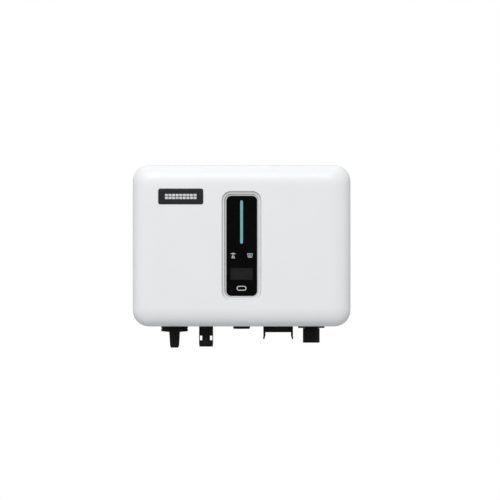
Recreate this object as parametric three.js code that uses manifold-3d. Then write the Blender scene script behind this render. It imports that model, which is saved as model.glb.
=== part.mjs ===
// A small single-phase string inverter on its wall bracket, in millimetres.
// +X is to the right of someone who faces the unit, +Y points into the wall and +Z is up.
// The origin lies on the wall, at the middle of the bracket's back face.

import * as THREE from "three";
import { mergeVertices } from "three/addons/utils/BufferGeometryUtils.js";
import Module from "manifold-3d";

const wasm = await Module();
wasm.setup();

// ---------------------------------------------------------------- driving dimensions

const GAP = 0.3; // clearance between neighbouring pieces
const HAIRLINE = 0.15; // clearance where two pieces look flush
const PAST = 1; // how far a cutter runs past the face it cuts
const ROUND = 24; // sides of a large round piece
const SMALL_ROUND = 12; // sides of a small round piece
const HEXAGON = 6;
const PINCH = 0.01; // keeps the flat between the two arcs of a round end

// Body, seen from the front
const WIDTH = 305.6;
const HEIGHT = 226.4;
const CORNER_RADIUS = 23;
const EDGE_RADIUS = 22; // rolled edge between the front face and the skirt

// Depth stations, from the wall to the front face
const FIN_TIP_Y = -14;
const HOUSING_BACK_Y = -40;
const HOUSING_FRONT_Y = -86;
const COVER_REAR_Y = -87.5;
const FRONT_Y = -126;

// Rear housing, an aluminium casting
const CASTING = 3;
const HOUSING_INSET = 1.5; // housing outline inside the cover outline
const FLANGE_THICKNESS = 3;
const SCREW_FLOOR_Y = -80; // the cover screws' heads sit here, at the bottom of the columns
const FIN_COUNT = 25;
const FIN_SPAN = 228; // centre of the first fin to centre of the last
const FIN_THICKNESS = 2;
const END_FIN_THICKNESS = 4;
const FIN_HEIGHT = 190;
const FLOOR_Z = -HEIGHT / 2 + HOUSING_INSET; // underside of the housing, where the connectors sit
const CAVITY_BACK_Y = HOUSING_BACK_Y - CASTING;
const CAVITY_FLOOR_Z = FLOOR_Z + CASTING;
const CONNECTOR_Y = -62; // the connectors stand in one row
const UNDERSIDE_Z = FLOOR_Z - 0.2; // their collars hang from here

// Earth terminal: a screw in a pocket of the right side wall
const EARTH = { y: -62, z: -70, seat: 147.6, pocket: 7, boss: 9, bossDepth: 12, screwLength: 8 };

// Front cover, a moulded shell
const COVER_WALL = 2.6;
const COVER_REVEAL = 0.5; // cover outline inside the housing's flange
const COVER_WIDTH = WIDTH - 2 * COVER_REVEAL;
const COVER_HEIGHT = HEIGHT - 2 * COVER_REVEAL;
const COVER_CORNER = CORNER_RADIUS - COVER_REVEAL;
const COVER_SCREW = { x: 134, z: 94.5, hole: 2.3, counterbore: 4.6, column: 7.6, boss: 5.2, length: 19 };
const COVER_SCREW_DEPTH = 14; // of the hole in the cover's boss
const PILLOW_DEPTH = 60; // straight run behind the rolled edge, before the rear is cut off

// Ring seal between the housing's flange and the cover
const GASKET = { inset: 0.7, width: 2.2 };

// M4 pan-head screw
const SCREW = { shank: 2, head: 3.9, headHeight: 2.8, recess: 1.2, socket: 1.5 };

// Display panel in the middle of the front face
const BEZEL = { width: 55, height: 152.2, corner: 12.9, depth: 5.5 };
const BEZEL_LIP = { width: 1.2, sink: 0.4 };
const BEZEL_STEP = { inset: 3.9, upperSink: 2.2, lowerSink: 3.4 };
const LENS = { width: 42, height: 139.6, corner: 6.5, thickness: 2, sink: 3.3 };
const LIGHT_BAR = { width: 4.2, height: 61, z: 33.3, depth: 7 };
const SCREEN = { width: 31.6, height: 16.5, z: -39.6, depth: 5, sideMargin: 1.5, endMargin: 3 };
const DISPLAY_BOARD = { width: 38, height: 132, corner: 2, thickness: 1.6, y: -113 };
const RIBBON = { low: -6, high: 12, jog: 7, thickness: 0.5 };

// Name plate on the front face
const BADGE = { width: 62.8, height: 21.6, corner: 2.8, x: -85.2, z: 69, thickness: 1.2 };
const BADGE_SEAT = { depth: 0.6, glue: 0.1 };

// Wall bracket and the hanger that hooks over it
const SHEET = 2;
const BRACKET = { width: 240, bottom: -45, shelfTop: 35, lipTop: 51, lipY: -10, lipWidth: 190 };
const HANGER = { width: 190, top: 88, lipY: -6, lipBottom: 37, screwX: 66.5, screwZ: 72 };
const HANGER_BOSS = { radius: 6, holeBottomY: -32, screwLength: 14 };
const LOCK = { y: -20, z: -24, tabTop: -12, tabBottom: -40, tabFront: -27, slot: 2.7, screwLength: 11 };
const WALL_SLOT = { x: 70, rows: [12, -28], radius: 3.5, length: 16 };

// Rotary DC switch
const SWITCH = { x: -94.2, radius: 18.8, flange: 4.5, disc: 3.5, cone: 1.1, shaft: 3, shaftInKnob: 11 };
const SWITCH_HOLE = SWITCH.shaft + 1;
const BLADE = { top: 15.1, foot: 12.7, tip: 10.1, length: 33, taper: 2.5, bottomZ: -143.1, bevel: 2.9 };
const SWITCH_BODY = { width: 44, depth: 38, height: 48, corner: 2, bore: 30 };

// DC receptacles, one behind the other
const DC = { x: -49.9, radius: 9.9, mouth: 7.1, stem: 6, bottomZ: -141.6, pitch: 20 };
const DC_SEAT_Z = -123;
const DC_STEM_TOP = CAVITY_FLOOR_Z + 9;
const DC_WINDOW = { inner: 5.5, outer: 8.7, top: -126.3, bottom: -132.8 };
const DC_COLLAR = { height: 2.4, step: 0.3 };
const DC_CONTACT = { radius: 2, bore: 2.3, nose: 4.2, tail: 2 };
const DC_NUT = { radius: 8.6, height: 5 };
const DC_WIRE = { radius: 2.4, rise: 17, bend: 6, steps: 12 };

// Breather in the middle of the underside
const VENT = { radius: 11.9, depth: 5.1, chamfer: 1.6, stem: 5, stemHeight: 6 };

// AC receptacle with a spring latch at each end
const AC = { x: 51.4, width: 35.2, depth: 22, corner: 3, bottomZ: -121.5, stemWidth: 26, stemDepth: 18 };
const AC_CHEEK = { width: 41.8, depth: 3, corner: 0.5 }; // wall behind the latches
const AC_STEM_TOP = CAVITY_FLOOR_Z + 11;
const AC_POCKET = { width: 30, depth: 16.5, corner: 2, ceiling: -114 };
const AC_PIN = { pitch: 9, radius: 1.8, tail: 2 };
const LATCH = { thickness: 2.9, width: 14, bottomZ: -131.1, knuckle: 1.5, pivotZ: -115, relief: 0.9 };
const LATCH_X = AC.width / 2 + GAP; // inner face of a latch, from the middle of the receptacle
const LATCH_TIP = { inner: 1.4, outer: 3.3, bendZ: -126 };
const HARNESS = { radius: 5, steps: 10 };

// Communication port with a push-on cap
const COM = { x: 97.9, flange: 37.1, corner: 4, flangeThickness: 2.25, spigot: 9.2, spigotWall: 1.6 };
const COM_SOCKET = { depth: 16, stemHeight: 10, insertWidth: 9, insertDepth: 2.4, insertSink: 2 };
const COM_CAP = { radius: 11.8, bore: 9.6, bottomZ: -136.2, floor: 2.4, rim: 0.8 };

// Boards and parts inside
const MAIN_BOARD = { left: -124, right: 124, bottom: -56, top: 100, back: -53, thickness: 1.6 };
const BOARD_FRONT_Y = MAIN_BOARD.back - MAIN_BOARD.thickness;
const BOARD_PAD = { x: 116, upperZ: 90, lowerZ: -48, radius: 4.5, hole: 2.2 };
const PART_SEAT_Y = BOARD_FRONT_Y - GAP; // parts stand on the board from here
const CONTROL_BOARD = { x: 8, front: -98, bottom: -24, top: 46, thickness: 1.6 };
const POWER_MODULE = { width: 60, height: 34, corner: 1, x: 40, z: 20, pad: 0.6 };

// Parts that stand on the main board: outline, reach towards the front, and place
const BOOST_INDUCTOR = { width: 54, height: 54, corner: 4, reach: 40, x: -92, z: 12 };
const OUTPUT_INDUCTOR = { width: 58, height: 50, corner: 4, reach: 40, x: 88, z: 66 };
const AUX_TRANSFORMER = { width: 30, height: 28, corner: 1, reach: 24, x: 34, z: 76 };
const FILM_CAPACITOR = { width: 32, height: 13, corner: 1, reach: 24, x: -30, z: -34 };
const RELAY = { width: 24, height: 28, corner: 1, reach: 16, z: -36 };
const RELAY_XS = [60, 92];
const CHOKE = { radius: 19, bore: 8, reach: 18 };
const DC_CHOKE = { x: -38, z: 10 };
const AC_CHOKE = { x: 96, z: 14 };
const CAPACITOR = { radius: 15, reach: 42, z: 68, xs: [-94, -60, -26] };

// ---------------------------------------------------------------- materials

const paint = (color, roughness, metalness = 0) =>
  new THREE.MeshStandardMaterial({ color, roughness, metalness });

const MATERIAL = {
  coverWhite: paint(0xe9eaec, 0.45),
  casting: paint(0xb9bdc0, 0.5, 0.6),
  bezel: paint(0xd5d7d9, 0.4),
  lensBlack: paint(0x0b0b0c, 0.12),
  screen: paint(0x232425, 0.2),
  teal: paint(0x6bb2b4, 0.35),
  badge: paint(0x2a2b2c, 0.35),
  blackPlastic: paint(0x151617, 0.55),
  rubber: paint(0x26282a, 0.8),
  zincSteel: paint(0xb4b8bc, 0.35, 0.9),
  brass: paint(0xc9a75a, 0.3, 0.9),
  board: paint(0x1d5a36, 0.5),
  aluminiumCan: paint(0x2c3a58, 0.4),
  potting: paint(0x3b3d40, 0.7),
  ferrite: paint(0x8a5a2c, 0.5),
  relay: paint(0x2456a4, 0.5),
  film: paint(0xc8b23c, 0.5),
  thermalPad: paint(0x8fa9c9, 0.9),
  redWire: paint(0xb32020, 0.5),
  blackWire: paint(0x1b1b1b, 0.5),
  ribbon: paint(0xbfc2c6, 0.6),
};

// ---------------------------------------------------------------- solid helpers

// A closed geometry as a manifold-3d solid.
function solid(geometry) {
  const bare = new THREE.BufferGeometry();
  bare.setAttribute("position", geometry.getAttribute("position"));
  if (geometry.index) bare.setIndex(geometry.index);
  const merged = mergeVertices(bare, 1e-4);
  const mesh = new wasm.Mesh({
    numProp: 3,
    vertProperties: new Float32Array(merged.attributes.position.array),
    triVerts: new Uint32Array(merged.index.array),
  });
  return new wasm.Manifold(mesh);
}

const join = (first, ...others) => others.reduce((sum, other) => sum.add(other), first);
const cut = (first, ...others) => others.reduce((rest, other) => rest.subtract(other), first);

// A box between two corners.
function block([x0, y0, z0], [x1, y1, z1]) {
  const box = new THREE.BoxGeometry(x1 - x0, y1 - y0, z1 - z0);
  return solid(box.translate((x0 + x1) / 2, (y0 + y1) / 2, (z0 + z1) / 2));
}

// A round rod along one axis. The centre gives the two other coordinates, in X, Y, Z order.
function rod(axis, radius, from, to, [a, b], sides = ROUND) {
  const cylinder = new THREE.CylinderGeometry(radius, radius, to - from, sides);
  const middle = (from + to) / 2;
  if (axis === "x") return solid(cylinder.rotateZ(Math.PI / 2).translate(middle, a, b));
  if (axis === "y") return solid(cylinder.translate(a, middle, b));
  return solid(cylinder.rotateX(Math.PI / 2).translate(a, b, middle));
}

// A rectangle with rounded corners, as a shape around its own centre.
function roundedRectangle(width, height, radius) {
  const x = width / 2 - radius;
  const y = height / 2 - radius;
  const shape = new THREE.Shape();
  shape.absarc(x, y, radius, 0, Math.PI / 2);
  shape.absarc(-x, y, radius, Math.PI / 2, Math.PI);
  shape.absarc(-x, -y, radius, Math.PI, 1.5 * Math.PI);
  shape.absarc(x, -y, radius, 1.5 * Math.PI, 2 * Math.PI);
  return shape;
}

// A polygon shape from its corner points.
const polygon = (points) => new THREE.Shape(points.map(([x, y]) => new THREE.Vector2(x, y)));

// A shape drawn in X and Z, extruded from the back coordinate to the front one, centred on x and z.
function plateY(shape, back, front, { x = 0, z = 0, curveSegments = 4 } = {}) {
  const extruded = new THREE.ExtrudeGeometry(shape, {
    depth: back - front,
    bevelEnabled: false,
    curveSegments,
  });
  return solid(extruded.rotateX(Math.PI / 2).translate(x, back, z));
}

// A shape drawn in X and Y, extruded from the lower coordinate to the upper one, centred on x and y.
function plateZ(shape, low, high, { x = 0, y = 0, curveSegments = 3 } = {}) {
  const extruded = new THREE.ExtrudeGeometry(shape, {
    depth: high - low,
    bevelEnabled: false,
    curveSegments,
  });
  return solid(extruded.translate(x, y, low));
}

// A shape drawn in Y and Z, extruded along X between two coordinates.
function plateX(shape, left, right) {
  const extruded = new THREE.ExtrudeGeometry(shape, { depth: right - left, bevelEnabled: false });
  extruded.applyMatrix4(new THREE.Matrix4().set(0, 0, 1, left, 1, 0, 0, 0, 0, 1, 0, 0, 0, 0, 0, 1));
  return solid(extruded);
}

// A body of revolution about a vertical axis. The profile holds [radius, z] points, from the top
// of the axis round to its bottom.
function turned(profile, x, y, sides = ROUND) {
  const points = profile.map(([radius, z]) => new THREE.Vector2(radius, -z));
  const lathe = new THREE.LatheGeometry(points, sides);
  return solid(lathe.rotateX(-Math.PI / 2).translate(x, y, 0));
}

// A round wire through the given points.
function wire(radius, points, steps) {
  const path = new THREE.CatmullRomCurve3(points.map((point) => new THREE.Vector3(...point)));
  const section = new THREE.Shape().absarc(0, 0, radius, 0, 2 * Math.PI);
  const options = { steps, extrudePath: path, bevelEnabled: false, curveSegments: 4 };
  return solid(new THREE.ExtrudeGeometry(section, options));
}

// A pan-head screw with a hexagon socket. The head sits at the seat and the shank runs on in the
// given direction along the axis.
function screw(axis, seat, direction, length, centre) {
  const span = (from, to) => [Math.min(from, to), Math.max(from, to)];
  const top = seat - direction * SCREW.headHeight;
  const shank = rod(axis, SCREW.shank, ...span(top, seat + direction * length), centre, SMALL_ROUND);
  const head = rod(axis, SCREW.head, ...span(top, seat), centre, SMALL_ROUND);
  const floor = top + direction * SCREW.recess;
  const socket = rod(axis, SCREW.socket, ...span(top - direction * PAST, floor), centre, HEXAGON);
  return cut(join(head, shank), socket);
}

const group = new THREE.Group();

// Adds one named piece to the group.
function piece(name, body, material) {
  const { numProp, numVert, vertProperties, triVerts } = body.getMesh();
  const positions = new Float32Array(numVert * 3);
  for (let i = 0; i < numVert; i++) {
    positions.set(vertProperties.subarray(i * numProp, i * numProp + 3), i * 3);
  }
  const geometry = new THREE.BufferGeometry();
  geometry.setAttribute("position", new THREE.BufferAttribute(positions, 3));
  geometry.setIndex(new THREE.BufferAttribute(triVerts, 1));
  geometry.computeVertexNormals();
  const mesh = new THREE.Mesh(geometry, material);
  mesh.name = name;
  group.add(mesh);
}

const SIDES = [
  { side: "left", sign: -1 },
  { side: "right", sign: 1 },
];
const CORNERS = [
  { x: -1, z: 1 },
  { x: 1, z: 1 },
  { x: 1, z: -1 },
  { x: -1, z: -1 },
];

// ---------------------------------------------------------------- wall bracket and hanger

// The slots for the wall screws on one side of the bracket.
function wallSlots(sign) {
  const outline = roundedRectangle(WALL_SLOT.length, 2 * WALL_SLOT.radius, WALL_SLOT.radius - PINCH);
  return WALL_SLOT.rows.map((z) => plateY(outline, PAST, -SHEET - PAST, { x: sign * WALL_SLOT.x, z }));
}

// Pressed steel: a wall plate, a shelf with an upward lip, and a slotted tab at each side.
function wallBracket() {
  const half = BRACKET.width / 2;
  const lip = BRACKET.lipWidth / 2;
  const shelfBottom = BRACKET.shelfTop - SHEET;
  const plate = block([-half, -SHEET, BRACKET.bottom], [half, 0, BRACKET.shelfTop]);
  const shelf = block([-lip, BRACKET.lipY, shelfBottom], [lip, 0, BRACKET.shelfTop]);
  const upright = block([-lip, BRACKET.lipY, shelfBottom], [lip, BRACKET.lipY + SHEET, BRACKET.lipTop]);
  let bracket = join(plate, shelf, upright);
  for (const { sign } of SIDES) {
    const inner = sign * (half - SHEET);
    const outer = sign * half;
    const [x0, x1] = [Math.min(inner, outer), Math.max(inner, outer)];
    const tab = block([x0, LOCK.tabFront, LOCK.tabBottom], [x1, 0, LOCK.tabTop]);
    const slotEnd = rod("x", LOCK.slot, x0 - PAST, x1 + PAST, [LOCK.y, LOCK.z], SMALL_ROUND);
    const slotSides = block(
      [x0 - PAST, LOCK.y - LOCK.slot, LOCK.z],
      [x1 + PAST, LOCK.y + LOCK.slot, LOCK.tabTop + PAST],
    );
    // The upper corners of the plate are cut away beside the lip.
    const notch = block(
      [Math.min(sign * lip, outer + sign * PAST), -SHEET - PAST, LOCK.tabTop],
      [Math.max(sign * lip, outer + sign * PAST), PAST, BRACKET.shelfTop + PAST],
    );
    bracket = cut(join(bracket, tab), slotEnd, slotSides, notch, ...wallSlots(sign));
  }
  return bracket;
}

// Z-section strip on the fin tips. Its web rests on the bracket's lip and its own lip hangs behind.
function hangerPlate() {
  const half = HANGER.width / 2;
  const back = FIN_TIP_Y + GAP;
  const webBottom = BRACKET.lipTop + GAP;
  const plate = block([-half, back, webBottom], [half, back + SHEET, HANGER.top]);
  const webTop = webBottom + SHEET;
  const web = block([-half, back, webBottom], [half, HANGER.lipY + SHEET, webTop]);
  const lip = block([-half, HANGER.lipY, HANGER.lipBottom], [half, HANGER.lipY + SHEET, webTop]);
  const holes = SIDES.map(({ sign }) => {
    const centre = [sign * HANGER.screwX, HANGER.screwZ];
    return rod("y", SCREW.shank + GAP, back - PAST, back + SHEET + PAST, centre, SMALL_ROUND);
  });
  return cut(join(plate, web, lip), ...holes);
}

piece("wall_bracket", wallBracket(), MATERIAL.zincSteel);
piece("hanger_plate", hangerPlate(), MATERIAL.zincSteel);
for (const { side, sign } of SIDES) {
  const seat = FIN_TIP_Y + GAP + SHEET + GAP;
  const centre = [sign * HANGER.screwX, HANGER.screwZ];
  const hangerScrew = screw("y", seat, -1, HANGER_BOSS.screwLength, centre);
  const lockSeat = sign * (BRACKET.width / 2 + GAP);
  const lockScrew = screw("x", lockSeat, -sign, LOCK.screwLength, [LOCK.y, LOCK.z]);
  piece(`hanger_screw_${side}`, hangerScrew, MATERIAL.zincSteel);
  piece(`lock_screw_${side}`, lockScrew, MATERIAL.zincSteel);
}

// ---------------------------------------------------------------- rear housing

// Vertical cooling fins over the back of the housing, with thicker ones at the two ends.
function fins() {
  const pitch = FIN_SPAN / (FIN_COUNT - 1);
  const fin = (index) => {
    const isEnd = index === 0 || index === FIN_COUNT - 1;
    const half = (isEnd ? END_FIN_THICKNESS : FIN_THICKNESS) / 2;
    const x = -FIN_SPAN / 2 + index * pitch;
    const low = -FIN_HEIGHT / 2;
    return block([x - half, HOUSING_BACK_Y - PAST, low], [x + half, FIN_TIP_Y, -low]);
  };
  return Array.from({ length: FIN_COUNT }, (_, index) => fin(index));
}

// Holes through the underside for the switch, the receptacles, the breather and the port.
function undersideHoles() {
  const from = FLOOR_Z - PAST;
  const to = CAVITY_FLOOR_Z + PAST;
  const acHole = roundedRectangle(AC.stemWidth + 2 * GAP, AC.stemDepth + 2 * GAP, AC_POCKET.corner);
  return [
    rod("z", SWITCH_HOLE, from, to, [SWITCH.x, CONNECTOR_Y], SMALL_ROUND),
    rod("z", DC.stem + GAP, from, to, [DC.x, CONNECTOR_Y - DC.pitch / 2]),
    rod("z", DC.stem + GAP, from, to, [DC.x, CONNECTOR_Y + DC.pitch / 2]),
    rod("z", VENT.stem + GAP, from, to, [0, CONNECTOR_Y], SMALL_ROUND),
    plateZ(acHole, from, to, { x: AC.x, y: CONNECTOR_Y }),
    rod("z", COM.spigot + GAP, from, to, [COM.x, CONNECTOR_Y]),
  ];
}

// Square block inside the right wall that takes the earth screw.
function earthBoss() {
  const { y, z, seat, boss, bossDepth } = EARTH;
  return block([seat - bossDepth, y - boss, z - boss], [seat + PAST, y + boss, z + boss]);
}

// The pocket for the earth lug, and the hole for the earth screw.
function earthHoles() {
  const { y, z, seat, pocket, bossDepth } = EARTH;
  return [
    block([seat, y - pocket, z - pocket], [WIDTH / 2, y + pocket, z + pocket]),
    rod("x", SCREW.shank + GAP, seat - bossDepth - PAST, seat + PAST, [y, z], SMALL_ROUND),
  ];
}

// A round rod at each corner of the body, on the axes of the cover screws.
function cornerRods(radius, from, to, sides = SMALL_ROUND) {
  return CORNERS.map(({ x, z }) => {
    const centre = [x * COVER_SCREW.x, z * COVER_SCREW.z];
    return rod("y", radius, from, to, centre, sides);
  });
}

// A round rod at each of the main board's fixing points.
function padRods(radius, from, to) {
  const { x: padX, upperZ, lowerZ } = BOARD_PAD;
  return CORNERS.map(({ x, z }) => {
    const centre = [x * padX, z > 0 ? upperZ : lowerZ];
    return rod("y", radius, from, to, centre, SMALL_ROUND);
  });
}

// A round rod on the axis of each hanger screw.
function hangerRods(radius, from, to) {
  return SIDES.map(({ sign }) =>
    rod("y", radius, from, to, [sign * HANGER.screwX, HANGER.screwZ], SMALL_ROUND),
  );
}

// Holes for the lock screws, through the two end fins.
function lockHoles() {
  return SIDES.map(({ sign }) => {
    const middle = (sign * FIN_SPAN) / 2;
    const half = END_FIN_THICKNESS / 2 + PAST;
    return rod("x", SCREW.shank + GAP, middle - half, middle + half, [LOCK.y, LOCK.z], SMALL_ROUND);
  });
}

// Cast tub with a front flange, fins, screw columns at the corners and pads for the main board.
function rearHousing() {
  const width = WIDTH - 2 * HOUSING_INSET;
  const height = HEIGHT - 2 * HOUSING_INSET;
  const corner = CORNER_RADIUS - HOUSING_INSET;
  const outline = roundedRectangle(width, height, corner);
  const inner = roundedRectangle(width - 2 * CASTING, height - 2 * CASTING, corner - CASTING);
  const flangeOutline = roundedRectangle(WIDTH, HEIGHT, CORNER_RADIUS);
  const tub = plateY(outline, HOUSING_BACK_Y, HOUSING_FRONT_Y);
  const flange = plateY(flangeOutline, HOUSING_FRONT_Y + FLANGE_THICKNESS, HOUSING_FRONT_Y);
  const cavity = plateY(inner, CAVITY_BACK_Y, HOUSING_FRONT_Y - PAST);
  const casting = join(
    cut(join(tub, flange), cavity),
    earthBoss(),
    ...fins(),
    ...cornerRods(COVER_SCREW.column, HOUSING_FRONT_Y, HOUSING_BACK_Y, ROUND),
    ...padRods(BOARD_PAD.radius, MAIN_BOARD.back + GAP, CAVITY_BACK_Y),
    ...hangerRods(HANGER_BOSS.radius, HOUSING_BACK_Y - PAST, FIN_TIP_Y),
  );
  return cut(
    casting,
    ...cornerRods(COVER_SCREW.counterbore, SCREW_FLOOR_Y, 0),
    ...cornerRods(COVER_SCREW.hole, HOUSING_FRONT_Y - PAST, SCREW_FLOOR_Y + PAST),
    ...hangerRods(SCREW.shank + GAP, HANGER_BOSS.holeBottomY, 0),
    ...lockHoles(),
    ...undersideHoles(),
    ...earthHoles(),
  );
}

// Silicone ring between the housing flange and the cover.
function coverGasket() {
  const { inset, width } = GASKET;
  const ring = (offset) =>
    roundedRectangle(COVER_WIDTH - 2 * offset, COVER_HEIGHT - 2 * offset, COVER_CORNER - offset);
  const back = HOUSING_FRONT_Y - HAIRLINE;
  const front = COVER_REAR_Y + HAIRLINE;
  return cut(plateY(ring(inset), back, front), plateY(ring(inset + width), back + PAST, front - PAST));
}

piece("rear_housing", rearHousing(), MATERIAL.casting);
piece("cover_gasket", coverGasket(), MATERIAL.rubber);
CORNERS.forEach(({ x, z }, index) => {
  const centre = [x * COVER_SCREW.x, z * COVER_SCREW.z];
  const coverScrew = screw("y", SCREW_FLOOR_Y + GAP, -1, COVER_SCREW.length, centre);
  piece(`cover_screw_${index + 1}`, coverScrew, MATERIAL.zincSteel);
});
const earthScrew = screw("x", EARTH.seat + GAP, -1, EARTH.screwLength, [EARTH.y, EARTH.z]);
piece("earth_screw", earthScrew, MATERIAL.zincSteel);

// ---------------------------------------------------------------- front cover

// A block with a rolled front edge, from the rear coordinate to the front one.
function pillow(width, height, corner, edge, rear, front) {
  const core = roundedRectangle(width - 2 * edge, height - 2 * edge, corner - edge);
  const rolled = new THREE.ExtrudeGeometry(core, {
    depth: PILLOW_DEPTH,
    bevelThickness: edge,
    bevelSize: edge,
    bevelSegments: 6,
    curveSegments: 4,
  });
  const whole = solid(rolled.rotateX(Math.PI / 2).translate(0, front + edge + PILLOW_DEPTH, 0));
  return cut(whole, block([-width, rear, -height], [width, front + 3 * PILLOW_DEPTH, height]));
}

// Hollow shell with the display opening, the name plate seat and four screw bosses.
function frontCover() {
  const outer = pillow(COVER_WIDTH, COVER_HEIGHT, COVER_CORNER, EDGE_RADIUS, COVER_REAR_Y, FRONT_Y);
  const inner = pillow(
    COVER_WIDTH - 2 * COVER_WALL,
    COVER_HEIGHT - 2 * COVER_WALL,
    COVER_CORNER - COVER_WALL,
    EDGE_RADIUS - COVER_WALL,
    COVER_REAR_Y + PAST,
    FRONT_Y + COVER_WALL,
  );
  const bosses = cornerRods(COVER_SCREW.boss, FRONT_Y, COVER_REAR_Y).map((boss) => boss.intersect(outer));
  const bossHoles = cornerRods(COVER_SCREW.hole, COVER_REAR_Y - COVER_SCREW_DEPTH, COVER_REAR_Y + PAST);
  const opening = roundedRectangle(BEZEL.width, BEZEL.height, BEZEL.corner);
  const seat = roundedRectangle(BADGE.width + 2 * GAP, BADGE.height + 2 * GAP, BADGE.corner + GAP);
  return cut(
    join(cut(outer, inner), ...bosses),
    ...bossHoles,
    plateY(opening, FRONT_Y + COVER_WALL + PAST, FRONT_Y - PAST),
    plateY(seat, FRONT_Y + BADGE_SEAT.depth, FRONT_Y - PAST, { x: BADGE.x, z: BADGE.z }),
  );
}

// Blank plate, glued into its seat.
function badgePlate() {
  const outline = roundedRectangle(BADGE.width, BADGE.height, BADGE.corner);
  const back = FRONT_Y + BADGE_SEAT.depth - BADGE_SEAT.glue;
  return plateY(outline, back, back - BADGE.thickness, { x: BADGE.x, z: BADGE.z });
}

piece("front_cover", frontCover(), MATERIAL.coverWhite);
piece("badge_plate", badgePlate(), MATERIAL.badge);

// ---------------------------------------------------------------- display panel

// Frame that lines the opening: a thin lip, then two steps, each lower than the one around it.
function displayBezel() {
  const ring = (inset) =>
    roundedRectangle(BEZEL.width - 2 * inset, BEZEL.height - 2 * inset, BEZEL.corner - inset);
  const back = FRONT_Y + BEZEL.depth;
  const opening = (BEZEL.width - LENS.width) / 2 - GAP;
  return cut(
    plateY(ring(GAP), back, FRONT_Y + BEZEL_LIP.sink),
    plateY(ring(GAP + BEZEL_LIP.width), FRONT_Y + BEZEL_STEP.upperSink, FRONT_Y),
    plateY(ring(BEZEL_STEP.inset), FRONT_Y + BEZEL_STEP.lowerSink, FRONT_Y),
    plateY(ring(opening), back + PAST, FRONT_Y),
  );
}

// Black lens with a slot for the light bar and a window for the screen.
function displayLens() {
  const front = FRONT_Y + LENS.sink;
  const back = front + LENS.thickness;
  const outline = roundedRectangle(LENS.width, LENS.height, LENS.corner);
  const slot = roundedRectangle(LIGHT_BAR.width, LIGHT_BAR.height, LIGHT_BAR.width / 2 - PINCH);
  const window = roundedRectangle(SCREEN.width, SCREEN.height, GAP);
  return cut(
    plateY(outline, back, front),
    plateY(slot, back + PAST, front - PAST, { z: LIGHT_BAR.z }),
    plateY(window, back + PAST, front - PAST, { z: SCREEN.z, curveSegments: 2 }),
  );
}

// Light guide with round ends, flush with the lens.
function lightBar() {
  const width = LIGHT_BAR.width - 2 * HAIRLINE;
  const height = LIGHT_BAR.height - 2 * HAIRLINE;
  const front = FRONT_Y + LENS.sink;
  const outline = roundedRectangle(width, height, width / 2 - PINCH);
  return plateY(outline, front + LIGHT_BAR.depth, front, { z: LIGHT_BAR.z });
}

// Small screen module: a glass in the lens window on a wider backing behind the lens.
function screenModule() {
  const { width, height, z, depth, sideMargin, endMargin } = SCREEN;
  const front = FRONT_Y + LENS.sink;
  const panel = (extraWidth, extraHeight, from) =>
    block(
      [-width / 2 - extraWidth, from, z - height / 2 - extraHeight],
      [width / 2 + extraWidth, front + depth, z + height / 2 + extraHeight],
    );
  const glass = panel(-HAIRLINE, -HAIRLINE, front + HAIRLINE);
  const backing = panel(sideMargin, endMargin, front + LENS.thickness + GAP);
  return join(glass, backing);
}

function displayBoard() {
  const { width, height, corner, thickness, y } = DISPLAY_BOARD;
  return plateY(roundedRectangle(width, height, corner), y + thickness, y, { curveSegments: 2 });
}

// Flat cable from the control board's front edge to the back of the display board.
function displayRibbon() {
  const { low, high, jog, thickness } = RIBBON;
  const start = CONTROL_BOARD.front - GAP;
  const end = DISPLAY_BOARD.y + DISPLAY_BOARD.thickness + GAP;
  const middle = (start + end) / 2;
  const x = CONTROL_BOARD.x;
  const outline = polygon([
    [x, start],
    [x, middle],
    [x - jog, middle],
    [x - jog, end],
    [x - jog - thickness, end],
    [x - jog - thickness, middle + thickness],
    [x - thickness, middle + thickness],
    [x - thickness, start],
  ]);
  return plateZ(outline, low, high);
}

piece("display_bezel", displayBezel(), MATERIAL.bezel);
piece("display_lens", displayLens(), MATERIAL.lensBlack);
piece("light_bar", lightBar(), MATERIAL.teal);
piece("display_module", screenModule(), MATERIAL.screen);
piece("display_pcb", displayBoard(), MATERIAL.board);
piece("display_ribbon", displayRibbon(), MATERIAL.ribbon);

// ---------------------------------------------------------------- boards and power parts

// Main power board with a hole over each pad.
function mainBoard() {
  const { left, right, bottom, top, back } = MAIN_BOARD;
  const board = block([left, BOARD_FRONT_Y, bottom], [right, back, top]);
  return cut(board, ...padRods(BOARD_PAD.hole, BOARD_FRONT_Y - PAST, back + PAST));
}

// A rectangular part that stands on the main board.
function standing({ width, height, corner, reach, x, z }) {
  const outline = roundedRectangle(width, height, corner);
  return plateY(outline, PART_SEAT_Y, PART_SEAT_Y - reach, { x, z, curveSegments: 2 });
}

// A wound ring core that lies flat on the main board.
function ringChoke({ x, z }) {
  const from = PART_SEAT_Y - CHOKE.reach;
  const body = rod("y", CHOKE.radius, from, PART_SEAT_Y, [x, z]);
  const hole = rod("y", CHOKE.bore, from - PAST, PART_SEAT_Y + PAST, [x, z], SMALL_ROUND);
  return cut(body, hole);
}

function controlBoard() {
  const { x, front, bottom, top, thickness } = CONTROL_BOARD;
  return block([x - thickness, front, bottom], [x, PART_SEAT_Y, top]);
}

// A plate in the power module's outline.
function modulePlate(back, front) {
  const { width, height, corner, x, z } = POWER_MODULE;
  return plateY(roundedRectangle(width, height, corner), back, front, { x, z, curveSegments: 2 });
}

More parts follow.
